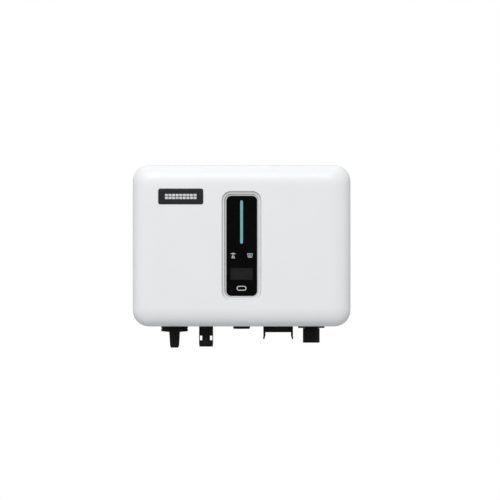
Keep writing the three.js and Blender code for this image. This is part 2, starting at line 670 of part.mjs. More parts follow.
piece("main_pcb", mainBoard(), MATERIAL.board);
piece("control_pcb", controlBoard(), MATERIAL.board);
piece("boost_inductor", standing(BOOST_INDUCTOR), MATERIAL.potting);
piece("output_inductor", standing(OUTPUT_INDUCTOR), MATERIAL.potting);
piece("dc_choke", ringChoke(DC_CHOKE), MATERIAL.ferrite);
piece("ac_choke", ringChoke(AC_CHOKE), MATERIAL.ferrite);
piece("aux_transformer", standing(AUX_TRANSFORMER), MATERIAL.ferrite);
piece("film_capacitor", standing(FILM_CAPACITOR), MATERIAL.film);
RELAY_XS.forEach((x, index) => piece(`relay_${index + 1}`, standing({ ...RELAY, x }), MATERIAL.relay));
CAPACITOR.xs.forEach((x, index) => {
  const can = rod("y", CAPACITOR.radius, PART_SEAT_Y - CAPACITOR.reach, PART_SEAT_Y, [x, CAPACITOR.z]);
  piece(`dc_link_capacitor_${index + 1}`, can, MATERIAL.aluminiumCan);
});

// The module reaches from behind the main board to the pad on the housing's inner wall.
const padBack = CAVITY_BACK_Y - GAP;
const padFront = padBack - POWER_MODULE.pad;
piece("thermal_pad", modulePlate(padBack, padFront), MATERIAL.thermalPad);
piece("power_module", modulePlate(padFront - HAIRLINE, MAIN_BOARD.back + GAP), MATERIAL.blackPlastic);

// ---------------------------------------------------------------- rotary DC switch

const KNOB_TOP = UNDERSIDE_Z - SWITCH.flange - GAP;
const KNOB_RIM = KNOB_TOP - SWITCH.disc;

// Contact block inside the housing, with a bore for the shaft.
function switchBody() {
  const { width, depth, height, corner, bore } = SWITCH_BODY;
  const low = CAVITY_FLOOR_Z + GAP;
  const at = { x: SWITCH.x, y: CONNECTOR_Y, curveSegments: 2 };
  const body = plateZ(roundedRectangle(width, depth, corner), low, low + height, at);
  const hole = rod("z", SWITCH.shaft + GAP, low - PAST, low + bore, [SWITCH.x, CONNECTOR_Y], SMALL_ROUND);
  return cut(body, hole);
}

// Fixed collar under the housing that the knob turns against.
function switchFlange() {
  const low = UNDERSIDE_Z - SWITCH.flange;
  const centre = [SWITCH.x, CONNECTOR_Y];
  const collar = rod("z", SWITCH.radius, low, UNDERSIDE_Z, centre);
  return cut(collar, rod("z", SWITCH_HOLE, low - PAST, UNDERSIDE_Z + PAST, centre, SMALL_ROUND));
}

// Grip blade: a tapered, chamfered section, narrowed towards its tip seen from the side.
function switchBlade() {
  const bevelZ = BLADE.bottomZ + BLADE.bevel;
  const half = BLADE.length / 2;
  const section = polygon([
    [-BLADE.top / 2, KNOB_RIM + PAST],
    [-BLADE.foot / 2, bevelZ],
    [-BLADE.tip / 2, BLADE.bottomZ],
    [BLADE.tip / 2, BLADE.bottomZ],
    [BLADE.foot / 2, bevelZ],
    [BLADE.top / 2, KNOB_RIM + PAST],
  ]);
  const side = polygon([
    [CONNECTOR_Y - half + BLADE.taper, BLADE.bottomZ - PAST],
    [CONNECTOR_Y + half - BLADE.taper, BLADE.bottomZ - PAST],
    [CONNECTOR_Y + half, KNOB_TOP],
    [CONNECTOR_Y - half, KNOB_TOP],
  ]);
  const blade = plateY(section, CONNECTOR_Y + half, CONNECTOR_Y - half, { x: SWITCH.x });
  return blade.intersect(plateX(side, SWITCH.x - BLADE.top, SWITCH.x + BLADE.top));
}

// Turning disc with a coned underside, a grip blade and a blind bore for the shaft.
function switchKnob() {
  const disc = turned(
    [
      [0, KNOB_TOP],
      [SWITCH.radius, KNOB_TOP],
      [SWITCH.radius, KNOB_RIM],
      [BLADE.top / 2, KNOB_RIM - SWITCH.cone],
      [0, KNOB_RIM - SWITCH.cone],
    ],
    SWITCH.x,
    CONNECTOR_Y,
  );
  const floor = KNOB_RIM - SWITCH.shaftInKnob - PAST;
  const centre = [SWITCH.x, CONNECTOR_Y];
  const bore = rod("z", SWITCH.shaft + HAIRLINE, floor, KNOB_TOP + PAST, centre, SMALL_ROUND);
  return cut(join(disc, switchBlade()), bore);
}

function switchShaft() {
  const top = CAVITY_FLOOR_Z + SWITCH_BODY.bore - PAST;
  const tip = KNOB_RIM - SWITCH.shaftInKnob;
  return rod("z", SWITCH.shaft, tip, top, [SWITCH.x, CONNECTOR_Y], SMALL_ROUND);
}

piece("dc_switch_body", switchBody(), MATERIAL.blackPlastic);
piece("dc_switch_flange", switchFlange(), MATERIAL.blackPlastic);
piece("dc_switch_shaft", switchShaft(), MATERIAL.zincSteel);
piece("dc_switch_knob", switchKnob(), MATERIAL.blackPlastic);

// ---------------------------------------------------------------- DC receptacles

// Panel receptacle: a sleeve with two latch windows, a stem through the housing wall and, on the
// negative one, an insulating nose round the contact.
function dcReceptacle(y, hasNose) {
  const sleeve = turned(
    [
      [0, DC_STEM_TOP],
      [DC.stem, DC_STEM_TOP],
      [DC.stem, UNDERSIDE_Z],
      [DC.radius, UNDERSIDE_Z],
      [DC.radius, DC.bottomZ + DC_COLLAR.height],
      [DC.radius - DC_COLLAR.step, DC.bottomZ + DC_COLLAR.height],
      [DC.radius - DC_COLLAR.step, DC.bottomZ],
      [DC.mouth, DC.bottomZ],
      [DC.mouth, DC_SEAT_Z],
      [0, DC_SEAT_Z],
    ],
    DC.x,
    y,
  );
  const windows = SIDES.map(({ sign }) => {
    const [x0, x1] = [sign * DC_WINDOW.inner, sign * DC_WINDOW.outer].sort((a, b) => a - b);
    return block(
      [DC.x + x0, y - DC.radius - PAST, DC_WINDOW.bottom],
      [DC.x + x1, y + DC.radius + PAST, DC_WINDOW.top],
    );
  });
  const body = cut(sleeve, ...windows);
  const nose = rod("z", DC_CONTACT.nose, DC.bottomZ + PAST, DC_SEAT_Z + PAST, [DC.x, y], SMALL_ROUND);
  const bore = rod("z", DC_CONTACT.bore, DC.bottomZ, DC_STEM_TOP + PAST, [DC.x, y], SMALL_ROUND);
  return cut(hasNose ? join(body, nose) : body, bore);
}

// Hexagon nut that clamps a receptacle from inside.
function dcNut(y) {
  const low = CAVITY_FLOOR_Z + GAP;
  const high = low + DC_NUT.height;
  const hexagon = rod("z", DC_NUT.radius, low, high, [DC.x, y], HEXAGON);
  return cut(hexagon, rod("z", DC.stem + HAIRLINE, low - PAST, high + PAST, [DC.x, y]));
}

// Wire from the top of a contact over to the switch body.
function dcWire(y) {
  const start = DC_STEM_TOP + DC_CONTACT.tail + GAP;
  const { bend, rise, radius } = DC_WIRE;
  const switchSide = SWITCH.x + SWITCH_BODY.width / 2;
  const route = [
    [DC.x, y, start],
    [DC.x, y, start + bend],
    [DC.x - bend, y, start + rise - bend / 2],
    [switchSide + bend, y, start + rise],
    [switchSide + GAP, y, start + rise],
  ];
  return wire(radius, route, DC_WIRE.steps);
}

const DC_POLES = [
  { pole: "plus", y: CONNECTOR_Y - DC.pitch / 2, hasNose: false, sink: 4, sleeve: MATERIAL.redWire },
  { pole: "minus", y: CONNECTOR_Y + DC.pitch / 2, hasNose: true, sink: 2.5, sleeve: MATERIAL.blackWire },
];
for (const { pole, y, hasNose, sink, sleeve } of DC_POLES) {
  const tail = DC_STEM_TOP + DC_CONTACT.tail;
  const contact = rod("z", DC_CONTACT.radius, DC.bottomZ + sink, tail, [DC.x, y], SMALL_ROUND);
  piece(`dc_${pole}_receptacle`, dcReceptacle(y, hasNose), MATERIAL.blackPlastic);
  piece(`dc_${pole}_contact`, contact, MATERIAL.brass);
  piece(`dc_${pole}_nut`, dcNut(y), MATERIAL.blackPlastic);
  piece(`dc_wire_${pole}`, dcWire(y), sleeve);
}

// ---------------------------------------------------------------- breather

// Low round plug with a chamfered lower edge, on a stem through the housing wall.
function ventPlug() {
  const stemTop = CAVITY_FLOOR_Z + VENT.stemHeight;
  const bottom = FLOOR_Z - VENT.depth;
  return turned(
    [
      [0, stemTop],
      [VENT.stem, stemTop],
      [VENT.stem, UNDERSIDE_Z],
      [VENT.radius, UNDERSIDE_Z],
      [VENT.radius, bottom + VENT.chamfer],
      [VENT.radius - VENT.chamfer, bottom],
      [0, bottom],
    ],
    0,
    CONNECTOR_Y,
  );
}

piece("vent_plug", ventPlug(), MATERIAL.blackPlastic);

// ---------------------------------------------------------------- AC receptacle

// The middles of the three pins, in the receptacle's row.
const AC_PINS = ["line", "neutral", "earth"].map((pole, index) => ({
  pole,
  centre: [AC.x + (index - 1) * AC_PIN.pitch, CONNECTOR_Y],
}));

// Block with a pocket for the plug, three pin holes, a groove at each end for a latch knuckle and a
// wall behind the latches.
function acReceptacle() {
  const y = CONNECTOR_Y;
  const at = { x: AC.x, y };
  const cheekAt = { x: AC.x, y: y + (AC.depth - AC_CHEEK.depth) / 2 };
  const outline = roundedRectangle(AC.width, AC.depth, AC.corner);
  const cheekOutline = roundedRectangle(AC_CHEEK.width, AC_CHEEK.depth, AC_CHEEK.corner);
  const stemOutline = roundedRectangle(AC.stemWidth, AC.stemDepth, AC_POCKET.corner);
  const pocketOutline = roundedRectangle(AC_POCKET.width, AC_POCKET.depth, AC_POCKET.corner);
  const shell = plateZ(outline, AC.bottomZ, UNDERSIDE_Z, at);
  const cheek = plateZ(cheekOutline, AC.bottomZ, UNDERSIDE_Z, cheekAt);
  const stem = plateZ(stemOutline, UNDERSIDE_Z - PAST, AC_STEM_TOP, at);
  const pocket = plateZ(pocketOutline, AC.bottomZ - PAST, AC_POCKET.ceiling, at);
  const pinHoles = AC_PINS.map(({ centre }) =>
    rod("z", AC_PIN.radius + GAP, AC.bottomZ, AC_STEM_TOP + PAST, centre, SMALL_ROUND),
  );
  const grooves = SIDES.map(({ sign }) => {
    const centre = [AC.x + sign * LATCH_X, LATCH.pivotZ];
    const back = cheekAt.y - AC_CHEEK.depth / 2;
    return rod("y", LATCH.knuckle + GAP, y - AC.depth, back, centre, SMALL_ROUND);
  });
  return cut(join(shell, cheek, stem), pocket, ...pinHoles, ...grooves);
}

// Spring latch: a knuckle that turns in the groove, a tapered arm and a flared finger tip.
function acLatch(sign) {
  const top = FLOOR_Z - PAST;
  const back = CONNECTOR_Y + LATCH.width / 2;
  const front = CONNECTOR_Y - LATCH.width / 2;
  const at = (distance, z) => [sign * (LATCH_X + distance), z];
  const outline = [
    at(LATCH.relief, top),
    at(LATCH.thickness, top),
    at(LATCH.thickness, LATCH_TIP.bendZ),
    at(LATCH_TIP.outer, LATCH.bottomZ),
    at(LATCH_TIP.inner, LATCH.bottomZ),
    at(0, LATCH_TIP.bendZ),
    at(0, LATCH.pivotZ),
  ];
  const arm = plateY(polygon(sign > 0 ? outline.reverse() : outline), back, front, { x: AC.x });
  const pivot = [AC.x + sign * LATCH_X, LATCH.pivotZ];
  return join(arm, rod("y", LATCH.knuckle, front, back, pivot, SMALL_ROUND));
}

piece("ac_receptacle", acReceptacle(), MATERIAL.blackPlastic);
for (const { pole, centre } of AC_PINS) {
  const pin = rod("z", AC_PIN.radius, AC.bottomZ + PAST, AC_STEM_TOP + AC_PIN.tail, centre, SMALL_ROUND);
  piece(`ac_pin_${pole}`, pin, MATERIAL.brass);
}
for (const { side, sign } of SIDES) {
  piece(`ac_latch_${side}`, acLatch(sign), MATERIAL.blackPlastic);
}

// Sleeved three-core lead from the receptacle to the lower edge of the main board.
const harnessStart = AC_STEM_TOP + AC_PIN.tail + GAP;
const harnessRoute = [
  [AC.x, CONNECTOR_Y, harnessStart],
  [AC.x, CONNECTOR_Y, harnessStart + 2 * HARNESS.radius],
  [AC.x, (CONNECTOR_Y + MAIN_BOARD.back) / 2, harnessStart + 4.4 * HARNESS.radius],
  [AC.x, MAIN_BOARD.back, MAIN_BOARD.bottom - 2 * HARNESS.radius],
  [AC.x, MAIN_BOARD.back, MAIN_BOARD.bottom - GAP],
];
piece("ac_harness", wire(HARNESS.radius, harnessRoute, HARNESS.steps), MATERIAL.blackWire);

// ---------------------------------------------------------------- communication port

const COM_FLANGE_BOTTOM = FLOOR_Z - HOUSING_INSET - COM.flangeThickness;

// Square flange that clamps the port to the underside.
function comFlange() {
  const outline = roundedRectangle(COM.flange, COM.flange, COM.corner);
  const plate = plateZ(outline, COM_FLANGE_BOTTOM, UNDERSIDE_Z, { x: COM.x, y: CONNECTOR_Y });
  return cut(plate, rod("z", COM.spigot + GAP, COM_FLANGE_BOTTOM - PAST, FLOOR_Z, [COM.x, CONNECTOR_Y]));
}

// Hollow spigot with a slotted insert, inside the flange and the cap.
function comSocket() {
  const { depth, stemHeight, insertWidth, insertDepth, insertSink } = COM_SOCKET;
  const centre = [COM.x, CONNECTOR_Y];
  const bottom = FLOOR_Z - depth;
  const tube = rod("z", COM.spigot, bottom, CAVITY_FLOOR_Z + stemHeight, centre);
  const mouth = rod("z", COM.spigot - COM.spigotWall, bottom - PAST, FLOOR_Z, centre);
  const insert = block(
    [COM.x - insertWidth / 2, CONNECTOR_Y - insertDepth / 2, bottom + insertSink],
    [COM.x + insertWidth / 2, CONNECTOR_Y + insertDepth / 2, FLOOR_Z + PAST],
  );
  return join(cut(tube, mouth), insert);
}

// Push-on cap with a chamfered lower edge.
function comCap() {
  const top = COM_FLANGE_BOTTOM - GAP;
  const floor = COM_CAP.bottomZ + COM_CAP.floor;
  return turned(
    [
      [0, floor],
      [COM_CAP.bore, floor],
      [COM_CAP.bore, top],
      [COM_CAP.radius, top],
      [COM_CAP.radius, COM_CAP.bottomZ + COM_CAP.rim],
      [COM_CAP.radius - COM_CAP.rim, COM_CAP.bottomZ],
      [0, COM_CAP.bottomZ],
    ],
    COM.x,
    CONNECTOR_Y,
  );
}

piece("com_port_flange", comFlange(), MATERIAL.blackPlastic);
piece("com_port_socket", comSocket(), MATERIAL.blackPlastic);
piece("com_port_cap", comCap(), MATERIAL.blackPlastic);

export default group;
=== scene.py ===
"""A small string inverter on its wall bracket: fine shells, marks and materials around the CAD frame."""

import math

import bmesh
import bpy
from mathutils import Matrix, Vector


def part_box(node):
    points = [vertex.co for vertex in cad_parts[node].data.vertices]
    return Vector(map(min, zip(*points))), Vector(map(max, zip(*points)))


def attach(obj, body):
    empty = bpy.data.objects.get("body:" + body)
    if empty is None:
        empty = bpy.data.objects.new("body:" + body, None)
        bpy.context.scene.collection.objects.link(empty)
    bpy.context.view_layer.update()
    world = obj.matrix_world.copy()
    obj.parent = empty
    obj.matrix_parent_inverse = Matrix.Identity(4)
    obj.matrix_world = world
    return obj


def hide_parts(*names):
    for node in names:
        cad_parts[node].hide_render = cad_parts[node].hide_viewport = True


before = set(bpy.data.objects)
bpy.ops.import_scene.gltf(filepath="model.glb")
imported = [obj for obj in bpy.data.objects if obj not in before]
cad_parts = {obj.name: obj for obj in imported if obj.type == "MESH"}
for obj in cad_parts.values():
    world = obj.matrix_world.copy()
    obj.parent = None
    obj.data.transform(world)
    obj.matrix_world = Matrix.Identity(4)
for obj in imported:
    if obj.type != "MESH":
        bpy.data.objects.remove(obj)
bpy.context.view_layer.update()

MM = 0.001

# Meshes
MESH_WELD = 0.001 * MM  # points closer than this become one, in the pieces made here
NODE_WELD = 0.002 * MM  # and in the CAD nodes
TIGHTEST_CORNER = 0.15 * MM
AXIS_HOLE = 0.5 * MM  # radius at which a turned piece's flat ends are closed
EASE = 0.3  # share of a chamfer taken by its softened corner
CORNER_STEPS = 20
ROLL_STEPS = 20
TURN_STEPS = 96
FLUTED_TURN_STEPS = 3 * TURN_STEPS
SMOOTH_ANGLE = math.radians(32)

# Broken edges of the CAD nodes
FLAT_ANGLE = math.radians(0.5)  # facets that turn by less are one flat face
EDGE_SEGMENTS = 2
FLAT_FACE_WEIGHT = 100  # large faces keep their own shading

# Front cover
COVER_CORNER = 22.5 * MM
ROLL_REACH = 28 * MM  # width of the rolled edge, seen from the front
ROLL_DEPTH = 22 * MM
ROLL_POWER = 2.5  # 2 would be an ellipse; more blends softly into the flat front
ROLL_CORNER = 5 * MM  # corner radius where the roll meets the flat front
COVER_WALL = 2.6 * MM
COVER_LIP = 0.4 * MM  # broken edge at the rear
COVER_APRON = 0.6 * MM  # flat strip that keeps the shading of the rounded edges off the flat front
OPENING_ROUND = 0.6 * MM  # rounded rim of the display opening
OPENING_ROUND_STEPS = 6
OPENING_CORNER = 12.7 * MM
OPENING_FIT = 0.25 * MM  # gap round the bezel
OPENING_SHIFT = (-0.1 * MM, 0.22 * MM)  # the bezel rests low and to the right in its opening
SEAT_CORNER = 3.1 * MM  # the name plate's seat
SEAT_ROUND = 0.3 * MM
SEAT_ROUND_STEPS = 3
SEAT_DEPTH = 0.6 * MM
FIT = 0.3 * MM  # gap between a piece and the opening that it sits in

# Display panel: depths below the cover's front face, and insets from the bezel's outer edge
LIP_SINK = 0.3 * MM
LIP_WIDTH = 0.2 * MM
UPPER_BAND = (1.5 * MM, 2.6 * MM)
UPPER_SINK = 2.4 * MM
LOWER_BAND = 3.4 * MM
LOWER_SINK = 3.4 * MM
LOWER_FIT = (0.35 * MM, 0.6 * MM)  # gaps outside and inside the lower band
LOWER_SHIFT = (0.29 * MM, -0.2 * MM)  # it rests low and to the right too
LOWER_EDGE = 0.2 * MM
LOWER_EDGE_STEPS = 3
MARK_THICKNESS = 0.12 * MM  # height of the raised print
MARK_PROUD = 0.05 * MM
STROKE = 0.6 * MM
TOUCH_MARK = (13.6 * MM, 6.6 * MM, 1.15 * MM)  # width, height and line width
TOUCH_MARK_DROP = 19.9 * MM  # below the middle of the screen
MARK_OFFSET = 11.8 * MM  # each symbol's distance from the middle
MARK_RISE = 26 * MM  # symbols above the middle of the screen

# Screen
DOT_PITCH = 0.25 * MM
DOT_GAP = 0.03 * MM

# Name plate
BADGE_CORNER = 2.8 * MM
BADGE_CHAMFER = 0.5 * MM
BADGE_CHAMFER_STEPS = 4
BADGE_MARGIN = 0.6 * MM  # flat strip inside the chamfer
CELL_COLUMNS, CELL_ROWS = 9, 2
CELL_PITCH = (5.0 * MM, 4.0 * MM)
CELL = (4.2 * MM, 3.2 * MM)
CELL_CORNER = 0.5 * MM
CELL_PROUD = 0.06 * MM
CELL_SUNK = 0.1 * MM

# Rotary switch
COLLAR_BORE = 4 * MM
COLLAR_EDGE = 0.4 * MM
COLLAR_STEP = 1.2 * MM  # the spigot's outside, in from the collar's
COLLAR_SPIGOT = 0.22 * MM
DISC = 3.5 * MM
DISC_EDGE = 0.5 * MM
DISC_FLUTES = 32
DISC_FLUTE = 0.12 * MM
DISC_CONE = 1.1 * MM
BLADE = (15.1 * MM, 33 * MM)  # the blade's sections, from the disc down
FOOT = (12.7 * MM, 29 * MM)
TIP = (10.1 * MM, 26.4 * MM)
BLADE_CORNER = 2.2 * MM
BLADE_CORNER_STEPS = 8
BLADE_SUNK = 0.5 * MM  # into the disc
TIP_BEVEL = 2.9 * MM
TIP_EASE = 0.5 * MM  # softens the bevel's upper and lower corners
TIP_EASE_START = 0.75  # share of the bevel's height where the upper one ends
TIP_ROUND = 0.3 * MM
TIP_CORNERS = (2.0 * MM, 1.9 * MM)

# Round DC couplers, with heights above their lower end
COUPLER_STEM = 6 * MM
COUPLER_BORE = 2.3 * MM
COUPLER_MOUTH = 7.1 * MM
COUPLER_SEAT = 18.1 * MM
COUPLER_EDGE = 0.35 * MM
COUPLER_COLLAR = 2.4 * MM
COUPLER_COLLAR_STEP = 0.3 * MM
NOSE_RADIUS = (4.2 * MM, 3.8 * MM)
NOSE_END = (1.4 * MM, 1 * MM)
WINDOW_REACH = (5.5 * MM, 8.7 * MM)  # from the coupler's axis
WINDOW_HEIGHT = (8.8 * MM, 15.3 * MM)

# Breather
BREATHER_STEM = 5 * MM
BREATHER_EDGE = 0.3 * MM
BREATHER_CHAMFER = 1.4 * MM
BREATHER_FLUTES = 24
BREATHER_FLUTE = 0.45 * MM
BREATHER_DISH = (0.55, 0.52)  # shares of the radius
BREATHER_DISH_DEPTH = 0.5 * MM

# Cap of the communication port
CAP_BORE = 9.6 * MM
CAP_FLOOR = 2.4 * MM
CAP_EDGE = 0.6 * MM
CAP_TOP_EDGE = 0.4 * MM
CAP_TOP_RIM = 1.2 * MM
CAP_LOWER_RIM = 2.6 * MM
CAP_RIM_STEP = 0.3 * MM
CAP_FLUTES = 18
CAP_FLUTE = 0.55 * MM
CAP_DISH = (0.6, 0.58)  # shares of the radius
CAP_DISH_DEPTH = 0.5 * MM

WINDINGS = 320  # scale of the wave that stands for an inductor's turns
PATTERN_SPREAD = (0.3, 0.7)  # the part of a noise's range that carries most of its values

# Camera: a long lens, straight from the front
FRAME_WIDTH = 700 * MM
CAMERA_DISTANCE = 15.0
SENSOR = 36.0
CAMERA_SHIFT = (11.8 * MM, -5.9 * MM)  # camera axis from the middle of the cover
FARTHEST_VIEW = 100.0

# Key light
KEY_PLACE = (-0.9, -5.0, 3.1)
KEY_TARGET = (0, -0.1, 0)
KEY_SIZE = 2.4
KEY_POWER = 200

# Floor
FLOOR_HALF = 8.0
FLOOR_HEIGHT = -0.6
FLOOR_GREY = (0.45, 0.46, 0.47)  # darkest, middle and lightest
FLOOR_CLOUDS = 0.8

# Surroundings: axis, then where the light fades from and to, and how bright it is there
ROOM_FADES = [
    ("Z", -0.4, -0.1, 0.35, 1.0),
    ("Y", -1.0, -0.7, 0.18, 1.0),
    ("X", 0.2, 1.0, 1.0, 0.66),
    ("X", -1.0, -0.2, 0.66, 1.0),
    ("Z", 0.2, 1.0, 1.0, 1.2),
]


# ---------------------------------------------------------------- meshes


def make_object(name, bm, material, body, replaced=()):
    """Turns a bmesh into a finished piece that rides on a body."""
    bmesh.ops.remove_doubles(bm, verts=bm.verts, dist=MESH_WELD)
    bmesh.ops.recalc_face_normals(bm, faces=bm.faces)
    mesh = bpy.data.meshes.new(name)
    bm.to_mesh(mesh)
    bm.free()
    mesh.shade_smooth()
    mesh.set_sharp_from_angle(angle=SMOOTH_ANGLE)
    mesh.materials.append(material)
    piece = bpy.data.objects.new(name, mesh)
    bpy.context.scene.collection.objects.link(piece)
    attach(piece, body)
    if replaced:
        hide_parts(*replaced)
    return piece


def rounded_loop(width, height, radius, steps=CORNER_STEPS):
    """Points (across, up) of a rounded rectangle round the origin."""
    points = []
    for turn, (side, rise) in enumerate([(1, 1), (-1, 1), (-1, -1), (1, -1)]):
        across = side * (width / 2 - radius)
        up = rise * (height / 2 - radius)
        for step in range(steps + 1):
            angle = (turn + step / steps) * math.pi / 2
            points.append((across + radius * math.cos(angle), up + radius * math.sin(angle)))
    return points


def add_rings(bm, rings, closed=False):
    """Joins successive rings of points with faces, and returns the rings' vertices."""
    loops = [[bm.verts.new(point) for point in ring] for ring in rings]
    pairs = list(zip(loops, loops[1:]))
    if closed:
        pairs.append((loops[-1], loops[0]))
    for first, second in pairs:
        count = len(first)
        for i in range(count):
            j = (i + 1) % count
            bm.faces.new((first[i], first[j], second[j], second[i]))
    return loops


def loop_edges(bm, loop):
    """The edges between successive vertices of a loop."""
    return [bm.edges.get((loop[i - 1], loop[i])) for i in range(len(loop))]


def fill_flat(bm, loops, normal):
    """Fills the flat area between an outer loop and the holes in it."""
    edges = [edge for loop in loops for edge in loop_edges(bm, loop)]
    bmesh.ops.triangle_fill(bm, use_beauty=True, use_dissolve=False, edges=edges, normal=normal)


def front_ring(width, height, corner, inset, y, centre=(0, 0)):
    """A rounded rectangle that faces the front, at depth y, drawn in by inset on every side."""
    radius = max(corner - inset, TIGHTEST_CORNER)
    loop = rounded_loop(width - 2 * inset, height - 2 * inset, radius)
    return [(centre[0] + x, y, centre[1] + z) for x, z in loop]


def arc_profile(start, radius, steps, quarter):
    """Points (inset, depth) along a quarter circle. start is where it begins.

    quarter is "over" for an edge that turns from the side onto the front face, and "into" for one that
    turns from the front face down into an opening.
    """
    points = []
    for step in range(steps + 1):
        angle = step / steps * math.pi / 2
        if quarter == "over":
            points.append((start[0] + radius * (1 - math.cos(angle)), start[1] - radius * math.sin(angle)))
        else:
            points.append((start[0] + radius * math.sin(angle), start[1] + radius * (1 - math.cos(angle))))
    return points


def rolled_edge(front, inset=0.0):
    """Points (inset, depth) from the skirt onto the front face, along a soft superellipse."""
    reach, depth = ROLL_REACH - inset, ROLL_DEPTH - inset
    points = []
    for step in range(ROLL_STEPS + 1):
        angle = step / ROLL_STEPS * math.pi / 2
        across = math.cos(angle) ** (2 / ROLL_POWER)
        ahead = math.sin(angle) ** (2 / ROLL_POWER)
        points.append((inset + reach * (1 - across), front + depth * (1 - ahead)))
    return points


def turned_rings(profile, centre, ribs=0, steps=TURN_STEPS):
    """Rings round a vertical axis. profile holds (radius, z, rib depth) points."""
    rings = []
    for radius, z, depth in profile:
        ring = []
        for step in range(steps):
            angle = 2 * math.pi * step / steps
            wave = 0.5 - 0.5 * math.cos(ribs * angle)
            reach = radius - depth * wave
            ring.append((centre[0] + reach * math.cos(angle), centre[1] + reach * math.sin(angle), z))
        rings.append(ring)
    return rings


def add_turned(bm, profile, centre, ribs=0, steps=TURN_STEPS, hollow=False):
    """Adds a closed body of revolution. A hollow one's profile closes on itself."""
    plain = [point if len(point) == 3 else (*point, 0) for point in profile]
    loops = add_rings(bm, turned_rings(plain, centre, ribs, steps), closed=hollow)
    if not hollow:
        bm.faces.new(loops[0])
        bm.faces.new(loops[-1])


def add_box(bm, low, high):
    """Adds an upright box between two corners."""
    (x0, y0, z0), (x1, y1, z1) = low, high
    rings = [[(x0, y0, z), (x1, y0, z), (x1, y1, z), (x0, y1, z)] for z in (z0, z1)]
    loops = add_rings(bm, rings)
    bm.faces.new(loops[0])
    bm.faces.new(loops[1])


def add_stroke(bm, start, end, width, centre, y0, y1):
    """Adds a thin raised line between two points (across, up) of a front face."""
    direction = (Vector(end) - Vector(start)).normalized()
    side = Vector((-direction.y, direction.x)) * width / 2
    corners = [Vector(start) + side, Vector(start) - side, Vector(end) - side, Vector(end) + side]
    rings = [[(centre[0] + c.x, y, centre[1] + c.y) for c in corners] for y in (y0, y1)]
    loops = add_rings(bm, rings)
    bm.faces.new(loops[0])
    bm.faces.new(loops[1])


def middle(node):
    """The middle of a CAD node's box."""
    low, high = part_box(node)
    return (low + high) / 2


def cut_away(piece, cutters):
    """Subtracts the cutters from a piece's mesh and removes them."""
    for cutter in cutters:
        modifier = piece.modifiers.new("cut", "BOOLEAN")
        modifier.operation = "DIFFERENCE"
        modifier.object = cutter
        modifier.solver = "EXACT"
    bpy.context.view_layer.update()
    graph = bpy.context.evaluated_depsgraph_get()
    mesh = bpy.data.meshes.new_from_object(piece.evaluated_get(graph))
    piece.modifiers.clear()
    piece.data = mesh
    mesh.shade_smooth()
    mesh.set_sharp_from_angle(angle=SMOOTH_ANGLE)
    for cutter in cutters:
        bpy.data.objects.remove(cutter)


def cutter_box(low, high):
    """A box that is only used to cut."""
    bm = bmesh.new()
    add_box(bm, low, high)
    bmesh.ops.recalc_face_normals(bm, faces=bm.faces)
    mesh = bpy.data.meshes.new("cutter")
    bm.to_mesh(mesh)
    bm.free()
    cutter = bpy.data.objects.new("cutter", mesh)
    bpy.context.scene.collection.objects.link(cutter)
    return cutter


# ---------------------------------------------------------------- materials


